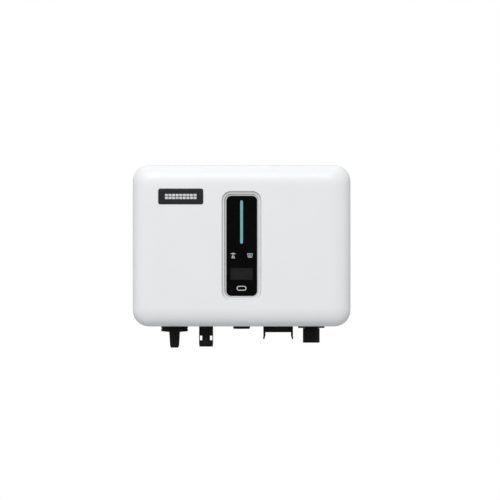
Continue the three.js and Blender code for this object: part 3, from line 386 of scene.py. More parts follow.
class Surface:
    """A procedural material on one Principled shader, with noise laid on in the object's own metres."""

    SOCKETS = {
        "base": "Base Color",
        "rough": "Roughness",
        "metal": "Metallic",
        "specular": "Specular IOR Level",
        "coat": "Coat Weight",
        "glow": "Emission Color",
        "glow_strength": "Emission Strength",
    }

    def __init__(self, name, colour, roughness, metallic=0.0):
        self.material = bpy.data.materials.new(name)
        self.material.use_nodes = True
        self.nodes = self.material.node_tree.nodes
        self.links = self.material.node_tree.links
        self.nodes.clear()
        output = self.nodes.new("ShaderNodeOutputMaterial")
        self.shader = self.nodes.new("ShaderNodeBsdfPrincipled")
        self.links.new(self.shader.outputs["BSDF"], output.inputs["Surface"])
        self.set(base=(*colour, 1), rough=roughness, metal=metallic)
        self.place = self.nodes.new("ShaderNodeTexCoord").outputs["Object"]
        self.bump = None
        self.material.diffuse_color = (*colour, 1)

    def set(self, **values):
        """Sets constants on the shader's own sockets."""
        for name, value in values.items():
            self.shader.inputs[self.SOCKETS[name]].default_value = value
        return self

    def noise(self, size, detail=3.0, stretch=(1, 1, 1)):
        """A noise output whose grain measures about size metres."""
        mapping = self.nodes.new("ShaderNodeMapping")
        mapping.inputs["Scale"].default_value = stretch
        self.links.new(self.place, mapping.inputs["Vector"])
        texture = self.nodes.new("ShaderNodeTexNoise")
        texture.inputs["Scale"].default_value = 1 / size
        texture.inputs["Detail"].default_value = detail
        self.links.new(mapping.outputs["Vector"], texture.inputs["Vector"])
        return texture.outputs["Fac"]

    def cells(self, size):
        """A cell output whose cells measure about size metres."""
        texture = self.nodes.new("ShaderNodeTexVoronoi")
        texture.inputs["Scale"].default_value = 1 / size
        self.links.new(self.place, texture.inputs["Vector"])
        return texture.outputs["Color"]

    def tint(self, pattern, low, high):
        """Blends the base colour from low to high along a pattern."""
        ramp = self.nodes.new("ShaderNodeValToRGB")
        ramp.color_ramp.elements[0].color = (*low, 1)
        ramp.color_ramp.elements[1].color = (*high, 1)
        ramp.color_ramp.elements[0].position = PATTERN_SPREAD[0]
        ramp.color_ramp.elements[1].position = PATTERN_SPREAD[1]
        self.links.new(pattern, ramp.inputs["Fac"])
        self.links.new(ramp.outputs["Color"], self.shader.inputs["Base Color"])
        return self

    def polish(self, pattern, low, high):
        """Varies the roughness from low to high along a pattern."""
        spread = self.nodes.new("ShaderNodeMapRange")
        spread.inputs["From Min"].default_value = PATTERN_SPREAD[0]
        spread.inputs["From Max"].default_value = PATTERN_SPREAD[1]
        spread.inputs["To Min"].default_value = low
        spread.inputs["To Max"].default_value = high
        self.links.new(pattern, spread.inputs["Value"])
        self.links.new(spread.outputs["Result"], self.shader.inputs["Roughness"])
        return self

    def relief(self, pattern, height):
        """Adds a bump of the given height in metres, on top of any bump already there."""
        bump = self.nodes.new("ShaderNodeBump")
        bump.inputs["Strength"].default_value = 1.0
        bump.inputs["Distance"].default_value = height
        self.links.new(pattern, bump.inputs["Height"])
        if self.bump:
            self.links.new(self.bump, bump.inputs["Normal"])
        self.bump = bump.outputs["Normal"]
        self.links.new(self.bump, self.shader.inputs["Normal"])
        return self


def shade(colour, factor):
    """A colour made darker or lighter."""
    return tuple(min(channel * factor, 1.0) for channel in colour)


def cover_paint():
    """Satin white finish with the faint ripple of a sprayed coat."""
    white = (0.672, 0.682, 0.696)
    paint = Surface("cover_paint", white, roughness=0.42)
    paint.tint(paint.noise(size=60 * MM), low=shade(white, 0.992), high=shade(white, 1.008))
    paint.polish(paint.noise(size=14 * MM), low=0.38, high=0.46)
    paint.relief(paint.noise(size=1.6 * MM, detail=2), height=0.012 * MM)
    return paint.relief(paint.noise(size=0.25 * MM, detail=2), height=0.002 * MM).material


def cast_aluminium():
    """Blasted die casting: fine pits, and a slow mottle from the mould."""
    grey = (0.56, 0.57, 0.58)
    metal = Surface("cast_aluminium", grey, roughness=0.5, metallic=0.75)
    metal.tint(metal.noise(size=30 * MM, detail=4), low=shade(grey, 0.97), high=shade(grey, 1.02))
    metal.polish(metal.noise(size=5 * MM), low=0.44, high=0.6)
    metal.relief(metal.noise(size=3 * MM), height=0.04 * MM)
    return metal.relief(metal.noise(size=0.35 * MM, detail=4), height=0.03 * MM).material


def moulded_plastic(name, colour, roughness, depth=0.012 * MM, specular=0.5, mottle=0.12):
    """Plastic with a fine spark-eroded texture."""
    plastic = Surface(name, colour, roughness).set(specular=specular)
    plastic.tint(plastic.noise(size=9 * MM), low=shade(colour, 1 - mottle), high=shade(colour, 1 + mottle))
    plastic.polish(plastic.noise(size=4 * MM), low=roughness - 0.05, high=roughness + 0.07)
    return plastic.relief(plastic.noise(size=0.3 * MM, detail=2), height=depth).material


def gloss_lens():
    """Polished black acrylic with a faint haze."""
    black = (0.0014, 0.0014, 0.0015)
    lens = Surface("gloss_lens", black, roughness=0.12)
    lens.tint(lens.noise(size=30 * MM), low=shade(black, 0.8), high=shade(black, 1.2))
    lens.polish(lens.noise(size=11 * MM, detail=5), low=0.09, high=0.16)
    lens.relief(lens.noise(size=25 * MM, detail=1), height=0.01 * MM)
    return lens.set(specular=0.12).material


def screen_glass():
    """Unlit display: a dark grey field with its fine dot matrix."""
    grey = (0.0115, 0.012, 0.0118)
    glass = Surface("screen_glass", grey, roughness=0.22).set(specular=0.18)
    dots = glass.nodes.new("ShaderNodeTexBrick")
    dots.offset = 0
    dots.inputs["Color1"].default_value = (*shade(grey, 1.1), 1)
    dots.inputs["Color2"].default_value = (*grey, 1)
    dots.inputs["Mortar"].default_value = (*shade(grey, 0.55), 1)
    dots.inputs["Scale"].default_value = 1.0
    dots.inputs["Brick Width"].default_value = DOT_PITCH
    dots.inputs["Row Height"].default_value = DOT_PITCH
    dots.inputs["Mortar Size"].default_value = DOT_GAP
    turn = glass.nodes.new("ShaderNodeMapping")
    turn.inputs["Rotation"].default_value = (math.pi / 2, 0, 0)
    glass.links.new(glass.place, turn.inputs["Vector"])
    glass.links.new(turn.outputs["Vector"], dots.inputs["Vector"])
    glass.links.new(dots.outputs["Color"], glass.shader.inputs["Base Color"])
    return glass.polish(glass.noise(size=8 * MM), low=0.18, high=0.28).material


def teal_diffuser():
    """Milky light guide, faintly lit from behind."""
    teal = (0.10, 0.325, 0.335)
    guide = Surface("teal_diffuser", teal, roughness=0.35)
    guide.tint(guide.noise(size=7 * MM), low=shade(teal, 0.94), high=shade(teal, 1.08))
    guide.relief(guide.noise(size=0.6 * MM, detail=2), height=0.006 * MM)
    return guide.set(glow=(0.10, 0.36, 0.37, 1), glow_strength=0.12, specular=0.25).material


def zinc_plate():
    """Zinc-plated sheet with its spangle and fine rolling lines."""
    zinc = (0.60, 0.61, 0.63)
    plate = Surface("zinc_plate", zinc, roughness=0.34, metallic=1.0)
    plate.tint(plate.cells(size=4 * MM), low=shade(zinc, 0.93), high=shade(zinc, 1.04))
    plate.polish(plate.noise(size=6 * MM, detail=4), low=0.28, high=0.46)
    rolled = plate.noise(size=0.5 * MM, detail=3, stretch=(1, 1, 0.08))
    return plate.relief(rolled, height=0.006 * MM).material


def brushed_metal(name, colour, roughness):
    """Turned or plated metal with fine lines."""
    metal = Surface(name, colour, roughness=roughness, metallic=1.0)
    metal.tint(metal.noise(size=3 * MM), low=shade(colour, 0.88), high=shade(colour, 1.08))
    metal.polish(metal.noise(size=1.2 * MM, detail=4), low=roughness - 0.06, high=roughness + 0.1)
    lines = metal.noise(size=0.3 * MM, detail=2, stretch=(1, 1, 0.1))
    return metal.relief(lines, height=0.005 * MM).material


def soft_rubber(name, colour):
    """Matt elastomer with a dusty surface."""
    rubber = Surface(name, colour, roughness=0.75)
    rubber.tint(rubber.noise(size=4 * MM), low=shade(colour, 0.8), high=shade(colour, 1.3))
    rubber.polish(rubber.noise(size=2 * MM), low=0.68, high=0.85)
    return rubber.relief(rubber.noise(size=0.4 * MM, detail=3), height=0.02 * MM).material


def circuit_board():
    """Solder mask over copper tracks that show as a faint relief."""
    green = (0.012, 0.11, 0.04)
    board = Surface("circuit_board", green, roughness=0.32)
    board.tint(board.cells(size=2.4 * MM), low=shade(green, 0.8), high=shade(green, 1.5))
    board.relief(board.cells(size=2.4 * MM), height=0.03 * MM)
    return board.set(coat=0.4).material


def wound_core(name, colour):
    """Enamelled winding: fine parallel turns, with painted shade in the grooves between them and a painted
    highlight on each turn.
    """
    core = Surface(name, colour, roughness=0.4)
    turns = core.nodes.new("ShaderNodeTexWave")
    turns.inputs["Scale"].default_value = WINDINGS
    core.links.new(core.place, turns.inputs["Vector"])
    # the colour follows the relief: painted shade where it is low, between the turns, and a painted
    # highlight where it is high
    core.tint(turns.outputs["Fac"], low=shade(colour, 0.55), high=shade(colour, 1.25))
    return core.relief(turns.outputs["Fac"], height=0.25 * MM).material


# ---------------------------------------------------------------- CAD nodes that stay


def tree(name):
    """A geometry node group with a mesh in and a mesh out."""
    group = bpy.data.node_groups.new(name, "GeometryNodeTree")
    group.interface.new_socket("Geometry", in_out="INPUT", socket_type="NodeSocketGeometry")
    group.interface.new_socket("Geometry", in_out="OUTPUT", socket_type="NodeSocketGeometry")
    start = group.nodes.new("NodeGroupInput")
    end = group.nodes.new("NodeGroupOutput")
    return group, start, end


def weld_group():
    """Joins the facets' shared corners, so that the surface can be rounded and smoothed."""
    group, start, end = tree("weld")
    plain = group.nodes.new("GeometryNodeRemoveAttribute")
    plain.inputs["Name"].default_value = "custom_normal"
    merge = group.nodes.new("GeometryNodeMergeByDistance")
    merge.inputs["Distance"].default_value = NODE_WELD
    group.links.new(start.outputs[0], plain.inputs["Geometry"])
    group.links.new(plain.outputs["Geometry"], merge.inputs["Geometry"])
    group.links.new(merge.outputs["Geometry"], end.inputs[0])
    return group


def smooth_group():
    """Shades smooth, apart from edges that turn by more than the smoothing angle."""
    group, start, end = tree("smooth_by_angle")
    angle = group.nodes.new("GeometryNodeInputMeshEdgeAngle")
    sharp = group.nodes.new("FunctionNodeCompare")
    sharp.data_type = "FLOAT"
    sharp.operation = "GREATER_THAN"
    sharp.inputs["B"].default_value = SMOOTH_ANGLE
    faces = group.nodes.new("GeometryNodeSetShadeSmooth")
    faces.domain = "FACE"
    edges = group.nodes.new("GeometryNodeSetShadeSmooth")
    edges.domain = "EDGE"
    edges.inputs["Shade Smooth"].default_value = False
    group.links.new(angle.outputs["Unsigned Angle"], sharp.inputs["A"])
    group.links.new(start.outputs[0], faces.inputs[0])
    group.links.new(faces.outputs[0], edges.inputs[0])
    group.links.new(sharp.outputs["Result"], edges.inputs["Selection"])
    group.links.new(edges.outputs[0], end.inputs[0])
    return group


WELD = weld_group()
SMOOTH = smooth_group()


def finish_node(name, material, edge=0.0):
    """Gives a CAD node its material, smooth round stretches and softly broken edges."""
    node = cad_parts[name]
    node.data.materials.clear()
    node.data.materials.append(material)
    node.modifiers.new("weld", "NODES").node_group = WELD
    if edge:
        flatten = node.modifiers.new("flatten", "DECIMATE")
        flatten.decimate_type = "DISSOLVE"
        flatten.angle_limit = FLAT_ANGLE
        bevel = node.modifiers.new("edges", "BEVEL")
        bevel.width = edge
        bevel.segments = EDGE_SEGMENTS
        bevel.limit_method = "ANGLE"
        bevel.angle_limit = SMOOTH_ANGLE
    node.modifiers.new("smooth", "NODES").node_group = SMOOTH
    if edge:
        normals = node.modifiers.new("normals", "WEIGHTED_NORMAL")
        normals.weight = FLAT_FACE_WEIGHT
        normals.keep_sharp = True


# ---------------------------------------------------------------- front cover


def front_cover(material):
    """The moulded shell: skirt, rolled edge, display opening and the name plate's seat."""
    low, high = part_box("front_cover")
    width, height = high.x - low.x, high.z - low.z
    front, rear = low.y, high.y
    inside = front + COVER_WALL
    bezel_low, bezel_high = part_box("display_bezel")
    opening = (
        bezel_high.x - bezel_low.x + 2 * OPENING_FIT,
        bezel_high.z - bezel_low.z + 2 * OPENING_FIT,
    )
    badge_low, badge_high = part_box("badge_plate")
    seat = (badge_high.x - badge_low.x + 2 * FIT, badge_high.z - badge_low.z + 2 * FIT)
    seat_centre = middle("badge_plate").xz

    def ring(inset, y):
        share = inset / ROLL_REACH
        radius = COVER_CORNER + (ROLL_CORNER - COVER_CORNER) * share
        return front_ring(width, height, radius + inset, inset, y)

    bm = bmesh.new()
    outer = [(COVER_WALL, rear), (COVER_LIP, rear), (0, rear - COVER_LIP)]
    outer += rolled_edge(front)
    outer += [(ROLL_REACH + COVER_APRON, front)]
    inner = [(COVER_WALL, rear)]
    inner += rolled_edge(inside, COVER_WALL)
    outer_loops = add_rings(bm, [ring(*point) for point in outer])
    inner_loops = add_rings(bm, [ring(*point) for point in inner])

    def hole(size, corner, profile, centre=(0, 0)):
        rings = [front_ring(*size, corner, inset, y, centre) for inset, y in profile]
        return add_rings(bm, rings)

    rim = [(-OPENING_ROUND - COVER_APRON, front)]
    rim += arc_profile((-OPENING_ROUND, front), OPENING_ROUND, OPENING_ROUND_STEPS, "into")
    opening_loops = hole(opening, OPENING_CORNER, rim + [(0, inside)], OPENING_SHIFT)
    seat_rim = [(-SEAT_ROUND - COVER_APRON, front)]
    seat_rim += arc_profile((-SEAT_ROUND, front), SEAT_ROUND, SEAT_ROUND_STEPS, "into")
    seat_loops = hole(seat, SEAT_CORNER, seat_rim + [(0, front + SEAT_DEPTH)], seat_centre)
    bm.faces.new(seat_loops[-1])
    fill_flat(bm, [outer_loops[-1], opening_loops[0], seat_loops[0]], (0, -1, 0))
    fill_flat(bm, [inner_loops[-1], opening_loops[-1]], (0, 1, 0))
    return make_object("cover_shell", bm, material, "inverter", ["front_cover"])


# ---------------------------------------------------------------- display panel


def bezel_ring(name, profile, material, shift=(0, 0), replaced=()):
    """A closed ring in the bezel's outline. profile holds (inset, y) points."""
    low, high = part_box("display_bezel")
    size = (high.x - low.x, high.z - low.z)
    centre = middle("display_bezel").xz + Vector(shift)
    bm = bmesh.new()
    rings = [front_ring(*size, OPENING_CORNER, inset, y, centre) for inset, y in profile]
    add_rings(bm, rings, closed=True)
    return make_object(name, bm, material, "inverter", replaced)


def outer_bezel(material):
    """Lip and upper band of the frame, with a sloping wall inside each of them."""
    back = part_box("display_bezel")[1].y
    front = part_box("front_cover")[0].y
    start, end = UPPER_BAND
    profile = [
        (0, back),
        (0, front + LIP_SINK + LIP_WIDTH),
        (LIP_WIDTH, front + LIP_SINK),
        (start, front + UPPER_SINK),
        (end, front + UPPER_SINK),
        (LOWER_BAND, front + LOWER_SINK),
        (LOWER_BAND, back),
    ]
    return bezel_ring("bezel_outer", profile, material, replaced=["display_bezel"])


def inner_bezel(material):
    """Lower band of the frame, next to the lens: a darker grey, partly its own tone and partly painted
    shade of the deep recess.
    """
    low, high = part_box("display_bezel")
    lens_low, lens_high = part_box("display_lens")
    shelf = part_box("front_cover")[0].y + LOWER_SINK
    outside = LOWER_BAND + LOWER_FIT[0]
    inside = (high.x - low.x - (lens_high.x - lens_low.x)) / 2 - LOWER_FIT[1]
    profile = [(outside, high.y), (outside, shelf)]
    profile += arc_profile((inside - LOWER_EDGE, shelf), LOWER_EDGE, LOWER_EDGE_STEPS, "into")
    profile += [(inside, high.y)]
    return bezel_ring("bezel_inner", profile, material, LOWER_SHIFT)


def lens_face():
    """Depth range of a raised print on the lens."""
    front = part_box("display_lens")[0].y
    return front - MARK_PROUD, front - MARK_PROUD + MARK_THICKNESS


def grid_symbol(material):
    """A lattice mast with two cross arms, for the mains side."""
    strokes = [
        ((-3.9, 2.3), (-0.1, 3.4)),
        ((3.9, 2.3), (0.1, 3.4)),
        ((-3.9, 2.3), (3.9, 2.3)),
        ((-0.5, 3.3), (-0.5, 0.3)),
        ((0.5, 3.3), (0.5, 0.3)),
        ((-0.4, 0.5), (-2.4, -3.4)),
        ((0.4, 0.5), (2.4, -3.4)),
        ((-1.1, -1.1), (2.2, -3.4)),
        ((1.1, -1.1), (-2.2, -3.4)),
        ((-1.2, -1.1), (1.2, -1.1)),
        ((-2.6, -3.5), (2.6, -3.5)),
    ]
    return symbol("grid_symbol", strokes, -MARK_OFFSET, material)


def panel_symbol(material):
    """A photovoltaic panel, tilted away, with its cell lines."""
    strokes = [
        ((-3.5, 2.7), (3.5, 2.7)),
        ((-3.2, 0.8), (3.2, 0.8)),
        ((-2.9, -1.0), (2.9, -1.0)),
        ((-2.6, -2.8), (2.6, -2.8)),
        ((-3.6, 2.7), (-2.5, -2.8)),
        ((3.6, 2.7), (2.5, -2.8)),
        ((-1.2, 2.7), (-0.85, -2.8)),
        ((1.2, 2.7), (0.85, -2.8)),
    ]
    return symbol("panel_symbol", strokes, MARK_OFFSET, material)


def symbol(name, strokes, across, material):
    """Raised print of short lines, given in millimetres round its own middle."""
    screen = middle("display_module")
    y0, y1 = lens_face()
    bm = bmesh.new()
    for start, end in strokes:
        ends = [tuple(value * MM for value in point) for point in (start, end)]
        add_stroke(bm, *ends, STROKE, (across, screen.z + MARK_RISE), y0, y1)
    return make_object(name, bm, material, "inverter")


def touch_mark(material):
    """Plain pill outline that marks the touch-sensitive area."""
    width, height, line = TOUCH_MARK
    y0, y1 = lens_face()
    centre = (0, middle("display_module").z - TOUCH_MARK_DROP)
    profile = [(0, y1), (0, y0), (line, y0), (line, y1)]
    bm = bmesh.new()
    rings = [front_ring(width, height, height / 2, inset, y, centre) for inset, y in profile]
    add_rings(bm, rings, closed=True)
    return make_object("touch_mark", bm, material, "inverter")


# ---------------------------------------------------------------- name plate


def badge(material):
    """Blank dark plate with a chamfered edge."""
    low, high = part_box("badge_plate")
    start = (0, low.y + BADGE_CHAMFER)
    profile = [(0, high.y), start]
    profile += arc_profile(start, BADGE_CHAMFER, BADGE_CHAMFER_STEPS, "over")[1:]
    profile += [(BADGE_CHAMFER + BADGE_MARGIN, low.y)]
    bm = bmesh.new()
    rings = [
        front_ring(high.x - low.x, high.z - low.z, BADGE_CORNER, inset, y, middle("badge_plate").xz)
        for inset, y in profile
    ]
    loops = add_rings(bm, rings)
    bm.faces.new(loops[0])
    bm.faces.new(loops[-1])
    return make_object("badge_shell", bm, material, "inverter", ["badge_plate"])


def badge_cells(material):
    """Two rows of plain light cells, like a strip of photovoltaic panel."""
    low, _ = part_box("badge_plate")
    centre = middle("badge_plate")
    depths = (low.y - CELL_PROUD, low.y + CELL_SUNK)
    bm = bmesh.new()
    for column in range(CELL_COLUMNS):
        for row in range(CELL_ROWS):
            x = centre.x + (column - (CELL_COLUMNS - 1) / 2) * CELL_PITCH[0]
            z = centre.z + (row - (CELL_ROWS - 1) / 2) * CELL_PITCH[1]
            rings = [front_ring(*CELL, CELL_CORNER, 0, y, (x, z)) for y in depths]
            loops = add_rings(bm, rings)
            bm.faces.new(loops[0])
            bm.faces.new(loops[1])
    return make_object("badge_cells", bm, material, "inverter")


# ---------------------------------------------------------------- underside


def switch_collar(material):
    """Fixed collar with a spigot that reaches down to the knob."""
    low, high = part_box("dc_switch_flange")
    centre = middle("dc_switch_flange").xy
    radius = (high.x - low.x) / 2
    inner = radius - COLLAR_STEP
    spigot = low.z - COLLAR_SPIGOT
    profile = [
        (COLLAR_BORE, high.z),
        (radius, high.z),
        (radius, low.z + COLLAR_EDGE),
        (radius - COLLAR_EDGE, low.z),
        (inner, low.z),
        (inner, spigot),
        (COLLAR_BORE, spigot),
    ]
    bm = bmesh.new()
    add_turned(bm, profile, centre, hollow=True)
    return make_object("switch_collar", bm, material, "inverter", ["dc_switch_flange"])


def switch_knob(material):
    """Disc with a coned underside and a tapered grip blade with rounded edges."""
    low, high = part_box("dc_switch_knob")
    centre = middle("dc_switch_knob").xy
    radius = (high.x - low.x) / 2
    rim = high.z - DISC
    cone = rim - DISC_CONE
    bm = bmesh.new()
    profile = [
        (AXIS_HOLE, high.z),
        (radius - DISC_EDGE, high.z),
        (radius, high.z - DISC_EDGE, DISC_FLUTE),
        (radius, rim + DISC_EDGE, DISC_FLUTE),
        (radius - DISC_EDGE, rim),
        (BLADE[0] / 2, cone),
        (AXIS_HOLE, cone),
    ]
    add_turned(bm, profile, centre, ribs=DISC_FLUTES, steps=FLUTED_TURN_STEPS)
    eased_foot = [size - TIP_EASE for size in FOOT]
    eased_tip = [size + TIP_EASE for size in TIP]
    sections = [
        (BLADE, BLADE_CORNER, rim + BLADE_SUNK),
        (FOOT, BLADE_CORNER, low.z + TIP_BEVEL),
        (eased_foot, BLADE_CORNER, low.z + TIP_EASE_START * TIP_BEVEL),
        (eased_tip, TIP_CORNERS[0], low.z + TIP_ROUND),
        (TIP, TIP_CORNERS[1], low.z),
    ]
    rings = []
    for size, corner, z in sections:
        outline = rounded_loop(*size, corner, BLADE_CORNER_STEPS)
        rings.append([(centre[0] + x, centre[1] + y, z) for x, y in outline])
    loops = add_rings(bm, rings)
    bm.faces.new(loops[0])
    bm.faces.new(loops[-1])
    return make_object("knob_body", bm, material, "switch_knob", ["dc_switch_knob"])


def dc_receptacle(pole, has_nose, material):
    """Round coupler with latch windows, a stepped collar and, on one pole, an insulating nose."""
    node = f"dc_{pole}_receptacle"
    low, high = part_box(node)
    centre = middle(node).xy
    radius = (high.x - low.x) / 2
    seat = low.z + COUPLER_SEAT
    collar = low.z + COUPLER_COLLAR
    neck = radius - COUPLER_COLLAR_STEP
    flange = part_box("dc_switch_flange")[1].z
    edge = COUPLER_EDGE
    bm = bmesh.new()
    profile = [
        (COUPLER_BORE, high.z),
        (COUPLER_STEM, high.z),
        (COUPLER_STEM, flange),
        (radius - edge, flange),
        (radius, flange - edge),
        (radius, collar + edge),
        (neck, collar),
        (neck, low.z + edge),
        (neck - edge, low.z),
        (COUPLER_MOUTH + edge, low.z),
        (COUPLER_MOUTH, low.z + edge),
        (COUPLER_MOUTH, seat),
    ]
    if has_nose:
        shoulder, end = NOSE_END
        profile += [(NOSE_RADIUS[0], seat), (NOSE_RADIUS[0], low.z + shoulder)]
        profile += [(NOSE_RADIUS[1], low.z + end), (COUPLER_BORE, low.z + end)]
    else:
        profile += [(COUPLER_BORE, seat)]
    add_turned(bm, profile, centre, hollow=True)
    name = f"coupler_{pole}"
    piece = make_object(name, bm, material, "inverter", [node])
    cutters = []
    for side in (-1, 1):
        near, far = sorted(side * reach for reach in WINDOW_REACH)
        bottom, top = [low.z + height for height in WINDOW_HEIGHT]
        window = cutter_box(
            (centre[0] + near, centre[1] - 2 * radius, bottom),
            (centre[0] + far, centre[1] + 2 * radius, top),
        )
        cutters.append(window)
    cut_away(piece, cutters)
    return piece


def breather(material):
    """Low round plug with shallow flutes and a chamfered lower edge."""
    low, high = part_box("vent_plug")
    centre = middle("vent_plug").xy
    radius = (high.x - low.x) / 2
    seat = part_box("dc_switch_flange")[1].z
    chamfer, edge, flute = BREATHER_CHAMFER, BREATHER_EDGE, BREATHER_FLUTE
    dish = low.z + BREATHER_DISH_DEPTH
    bm = bmesh.new()
    profile = [
        (AXIS_HOLE, high.z),
        (BREATHER_STEM, high.z),
        (BREATHER_STEM, seat),
        (radius - edge, seat),
        (radius, seat - edge, flute),
        (radius, low.z + chamfer, flute),
        (radius - chamfer / 2, low.z + EASE * chamfer, flute / 2),
        (radius - chamfer, low.z),
        (BREATHER_DISH[0] * radius, low.z),
        (BREATHER_DISH[1] * radius, dish),
        (AXIS_HOLE, dish),
    ]
    add_turned(bm, profile, centre, ribs=BREATHER_FLUTES, steps=FLUTED_TURN_STEPS)
    return make_object("breather_plug", bm, material, "inverter", ["vent_plug"])


def port_cap(material):
    """Fluted cap with a smooth rim at its closed end."""
    low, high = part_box("com_port_cap")
    centre = middle("com_port_cap").xy
    radius = (high.x - low.x) / 2
    base = low.z + CAP_FLOOR
    rim = low.z + CAP_LOWER_RIM
    dish = low.z + CAP_DISH_DEPTH
    bm = bmesh.new()
    profile = [
        (AXIS_HOLE, base),
        (CAP_BORE, base),
        (CAP_BORE, high.z),
        (radius - CAP_TOP_EDGE, high.z),
        (radius, high.z - CAP_TOP_EDGE),
        (radius, high.z - CAP_TOP_RIM),
        (radius, high.z - CAP_TOP_RIM - CAP_RIM_STEP, CAP_FLUTE),
        (radius, rim + CAP_RIM_STEP, CAP_FLUTE),
        (radius, rim),
        (radius, low.z + CAP_EDGE),
        (radius - EASE * CAP_EDGE, low.z + EASE * CAP_EDGE),
        (radius - CAP_EDGE, low.z),
        (CAP_DISH[0] * radius, low.z),
        (CAP_DISH[1] * radius, dish),
        (AXIS_HOLE, dish),
    ]
    add_turned(bm, profile, centre, ribs=CAP_FLUTES, steps=FLUTED_TURN_STEPS)
    return make_object("cap_body", bm, material, "port_cap", ["com_port_cap"])


# ---------------------------------------------------------------- surroundings


def floor():
    """Plain pale floor, well below the object."""
    half = FLOOR_HALF
    bm = bmesh.new()
    corners = [(-half, -half), (half, -half), (half, half), (-half, half)]
    bm.faces.new([bm.verts.new((x, y, FLOOR_HEIGHT)) for x, y in corners])
    mesh = bpy.data.meshes.new("floor")
    bm.to_mesh(mesh)
    bm.free()
    dark, grey, light = [(level, level, level) for level in FLOOR_GREY]
    pale = Surface("floor_paint", grey, roughness=0.9)
    pale.tint(pale.noise(size=FLOOR_CLOUDS), low=dark, high=light)
    mesh.materials.append(pale.material)
    ground = bpy.data.objects.new("floor", mesh)
    bpy.context.scene.collection.objects.link(ground)


def key_light():
    """A large soft light, high up in front and a little to the left."""
    data = bpy.data.lights.new("key", "AREA")
    data.shape = "SQUARE"
    data.size = KEY_SIZE
    data.energy = KEY_POWER
    light = bpy.data.objects.new("key", data)
    light.location = KEY_PLACE
    light.rotation_euler = (Vector(KEY_TARGET) - Vector(KEY_PLACE)).to_track_quat("-Z", "Y").to_euler()
    bpy.context.scene.collection.objects.link(light)


def white_room():
    """White surroundings that dim towards the ground, in front and a little at the sides."""
    world = bpy.data.worlds.new("white_room")
    world.use_nodes = True
    nodes, links = world.node_tree.nodes, world.node_tree.links
    nodes.clear()
    output = nodes.new("ShaderNodeOutputWorld")
    background = nodes.new("ShaderNodeBackground")
    split = nodes.new("ShaderNodeSeparateXYZ")
    place = nodes.new("ShaderNodeTexCoord")
    links.new(place.outputs["Generated"], split.inputs["Vector"])

    def fade(axis, start, end, low, high):
        """Light that goes from low to high between two heights, depths or widths."""
        spread = nodes.new("ShaderNodeMapRange")
        spread.inputs["From Min"].default_value = start
        spread.inputs["From Max"].default_value = end
        spread.inputs["To Min"].default_value = low
        spread.inputs["To Max"].default_value = high
        links.new(split.outputs[axis], spread.inputs["Value"])
        return spread.outputs["Result"]

    light = fade(*ROOM_FADES[0])
    for values in ROOM_FADES[1:]:
        product = nodes.new("ShaderNodeMath")
        product.operation = "MULTIPLY"
        links.new(light, product.inputs[0])
        links.new(fade(*values), product.inputs[1])
        light = product.outputs["Value"]
    links.new(light, background.inputs["Color"])
    links.new(background.outputs["Background"], output.inputs["Surface"])
    bpy.context.scene.world = world


def camera():
    """Long lens at the height of the cover, looking straight at it."""
    low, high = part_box("front_cover")
    data = bpy.data.cameras.new("camera")
    data.sensor_width = SENSOR
    data.lens = SENSOR * CAMERA_DISTANCE / FRAME_WIDTH
    data.clip_end = FARTHEST_VIEW
    eye = bpy.data.objects.new("camera", data)
    eye.location = (
        (low.x + high.x) / 2 + CAMERA_SHIFT[0],
        low.y - CAMERA_DISTANCE,
        (low.z + high.z) / 2 + CAMERA_SHIFT[1],
    )
    eye.rotation_euler = (math.pi / 2, 0, 0)
    bpy.context.scene.collection.objects.link(eye)
    bpy.context.scene.camera = eye


# ---------------------------------------------------------------- assembly

camera()
white_room()
floor()
key_light()
bpy.context.scene.view_settings.view_transform = "Standard"
bpy.context.scene.view_settings.look = "None"

white = cover_paint()
casting = cast_aluminium()
satin = {"depth": 0.004 * MM, "mottle": 0.015}
pale_plastic = moulded_plastic("pale_plastic", (0.64, 0.65, 0.66), roughness=0.38, **satin)
# darker grey for the lower bezel band: partly its own tone, partly painted shade of the deep recess
grey_plastic_and_recess_shade = moulded_plastic("grey_plastic_and_recess_shade", (0.46, 0.465, 0.47), roughness=0.38, **satin)
black_plastic = moulded_plastic("black_plastic", (0.0062, 0.0063, 0.0065), roughness=0.5, specular=0.1)
badge_black = moulded_plastic(
    "badge_black", (0.0155, 0.0162, 0.0162), roughness=0.4, depth=0.004 * MM, specular=0.12
)
silver_print = brushed_metal("silver_print", (0.62, 0.63, 0.64), roughness=0.4)
zinc = zinc_plate()
brass = brushed_metal("contact_brass", (0.72, 0.52, 0.22), roughness=0.3)
seal = soft_rubber("seal_rubber", (0.02, 0.02, 0.02))
lens = gloss_lens()
inner_plastic = moulded_plastic("inner_plastic", (0.015, 0.015, 0.016), roughness=0.5)
board = circuit_board()
potting = moulded_plastic("potting", (0.05, 0.05, 0.055), roughness=0.55)
core = wound_core("wound_core", (0.32, 0.12, 0.04))
relay_case = moulded_plastic("relay_case", (0.03, 0.09, 0.32), roughness=0.4)
film_case = moulded_plastic("film_case", (0.60, 0.46, 0.05), roughness=0.4)
capacitor_sleeve = moulded_plastic("capacitor_sleeve", (0.02, 0.035, 0.09), roughness=0.3)
ribbon_plastic = moulded_plastic("ribbon_plastic", (0.5, 0.5, 0.51), roughness=0.5)

front_cover(white)
outer_bezel(pale_plastic)
inner_bezel(grey_plastic_and_recess_shade)
grid_symbol(silver_print)
panel_symbol(silver_print)
touch_mark(silver_print)
badge(badge_black)
badge_cells(silver_print)
switch_collar(black_plastic)
switch_knob(black_plastic)
dc_receptacle("plus", False, black_plastic)
dc_receptacle("minus", True, black_plastic)
breather(black_plastic)
port_cap(black_plastic)

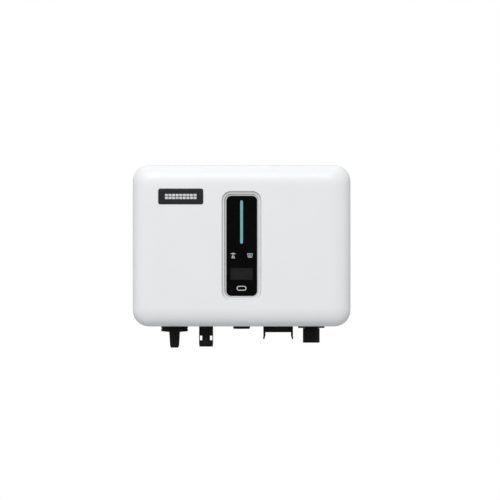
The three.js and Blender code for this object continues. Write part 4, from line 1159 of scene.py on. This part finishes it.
# Each CAD node that stays: its material, and how wide its edges are broken, in millimetres
NODE_FINISH = {
    "rear_housing": (casting, 0.2),
    "cover_gasket": (seal, 0),
    "wall_bracket": (zinc, 0.3),
    "hanger_plate": (zinc, 0.3),
    "earth_screw": (zinc, 0.25),
    "display_lens": (lens, 0.2),
    "light_bar": (teal_diffuser(), 0.2),
    "display_module": (screen_glass(), 0.1),
    "display_pcb": (board, 0.1),
    "display_ribbon": (ribbon_plastic, 0),
    "main_pcb": (board, 0.1),
    "control_pcb": (board, 0.1),
    "boost_inductor": (potting, 1.0),
    "output_inductor": (potting, 1.0),
    "dc_choke": (core, 2.0),
    "ac_choke": (core, 2.0),
    "aux_transformer": (core, 0.8),
    "film_capacitor": (film_case, 0.6),
    "thermal_pad": (soft_rubber("pad_rubber", (0.25, 0.34, 0.5)), 0),
    "power_module": (inner_plastic, 0.5),
    "dc_switch_body": (inner_plastic, 0.6),
    "dc_switch_shaft": (zinc, 0.3),
    "dc_wire_plus": (soft_rubber("red_sleeve", (0.42, 0.015, 0.015)), 0),
    "dc_wire_minus": (soft_rubber("black_sleeve", (0.015, 0.015, 0.015)), 0),
    "ac_receptacle": (black_plastic, 0.35),
    "ac_harness": (soft_rubber("harness_sleeve", (0.018, 0.018, 0.018)), 0),
    "com_port_flange": (black_plastic, 0.35),
    "com_port_socket": (black_plastic, 0.3),
}
for number in range(1, 5):
    NODE_FINISH[f"cover_screw_{number}"] = (zinc, 0.25)
for number in range(1, 4):
    NODE_FINISH[f"dc_link_capacitor_{number}"] = (capacitor_sleeve, 0.8)
for number in range(1, 3):
    NODE_FINISH[f"relay_{number}"] = (relay_case, 0.6)
for side in ("left", "right"):
    NODE_FINISH[f"hanger_screw_{side}"] = (zinc, 0.25)
    NODE_FINISH[f"lock_screw_{side}"] = (zinc, 0.25)
    NODE_FINISH[f"ac_latch_{side}"] = (black_plastic, 0.25)
for pole in ("plus", "minus"):
    NODE_FINISH[f"dc_{pole}_contact"] = (brass, 0.4)
    NODE_FINISH[f"dc_{pole}_nut"] = (inner_plastic, 0.4)
for pole in ("line", "neutral", "earth"):
    NODE_FINISH[f"ac_pin_{pole}"] = (brass, 0.4)
for node_name, (node_material, node_edge) in NODE_FINISH.items():
    finish_node(node_name, node_material, node_edge * MM)
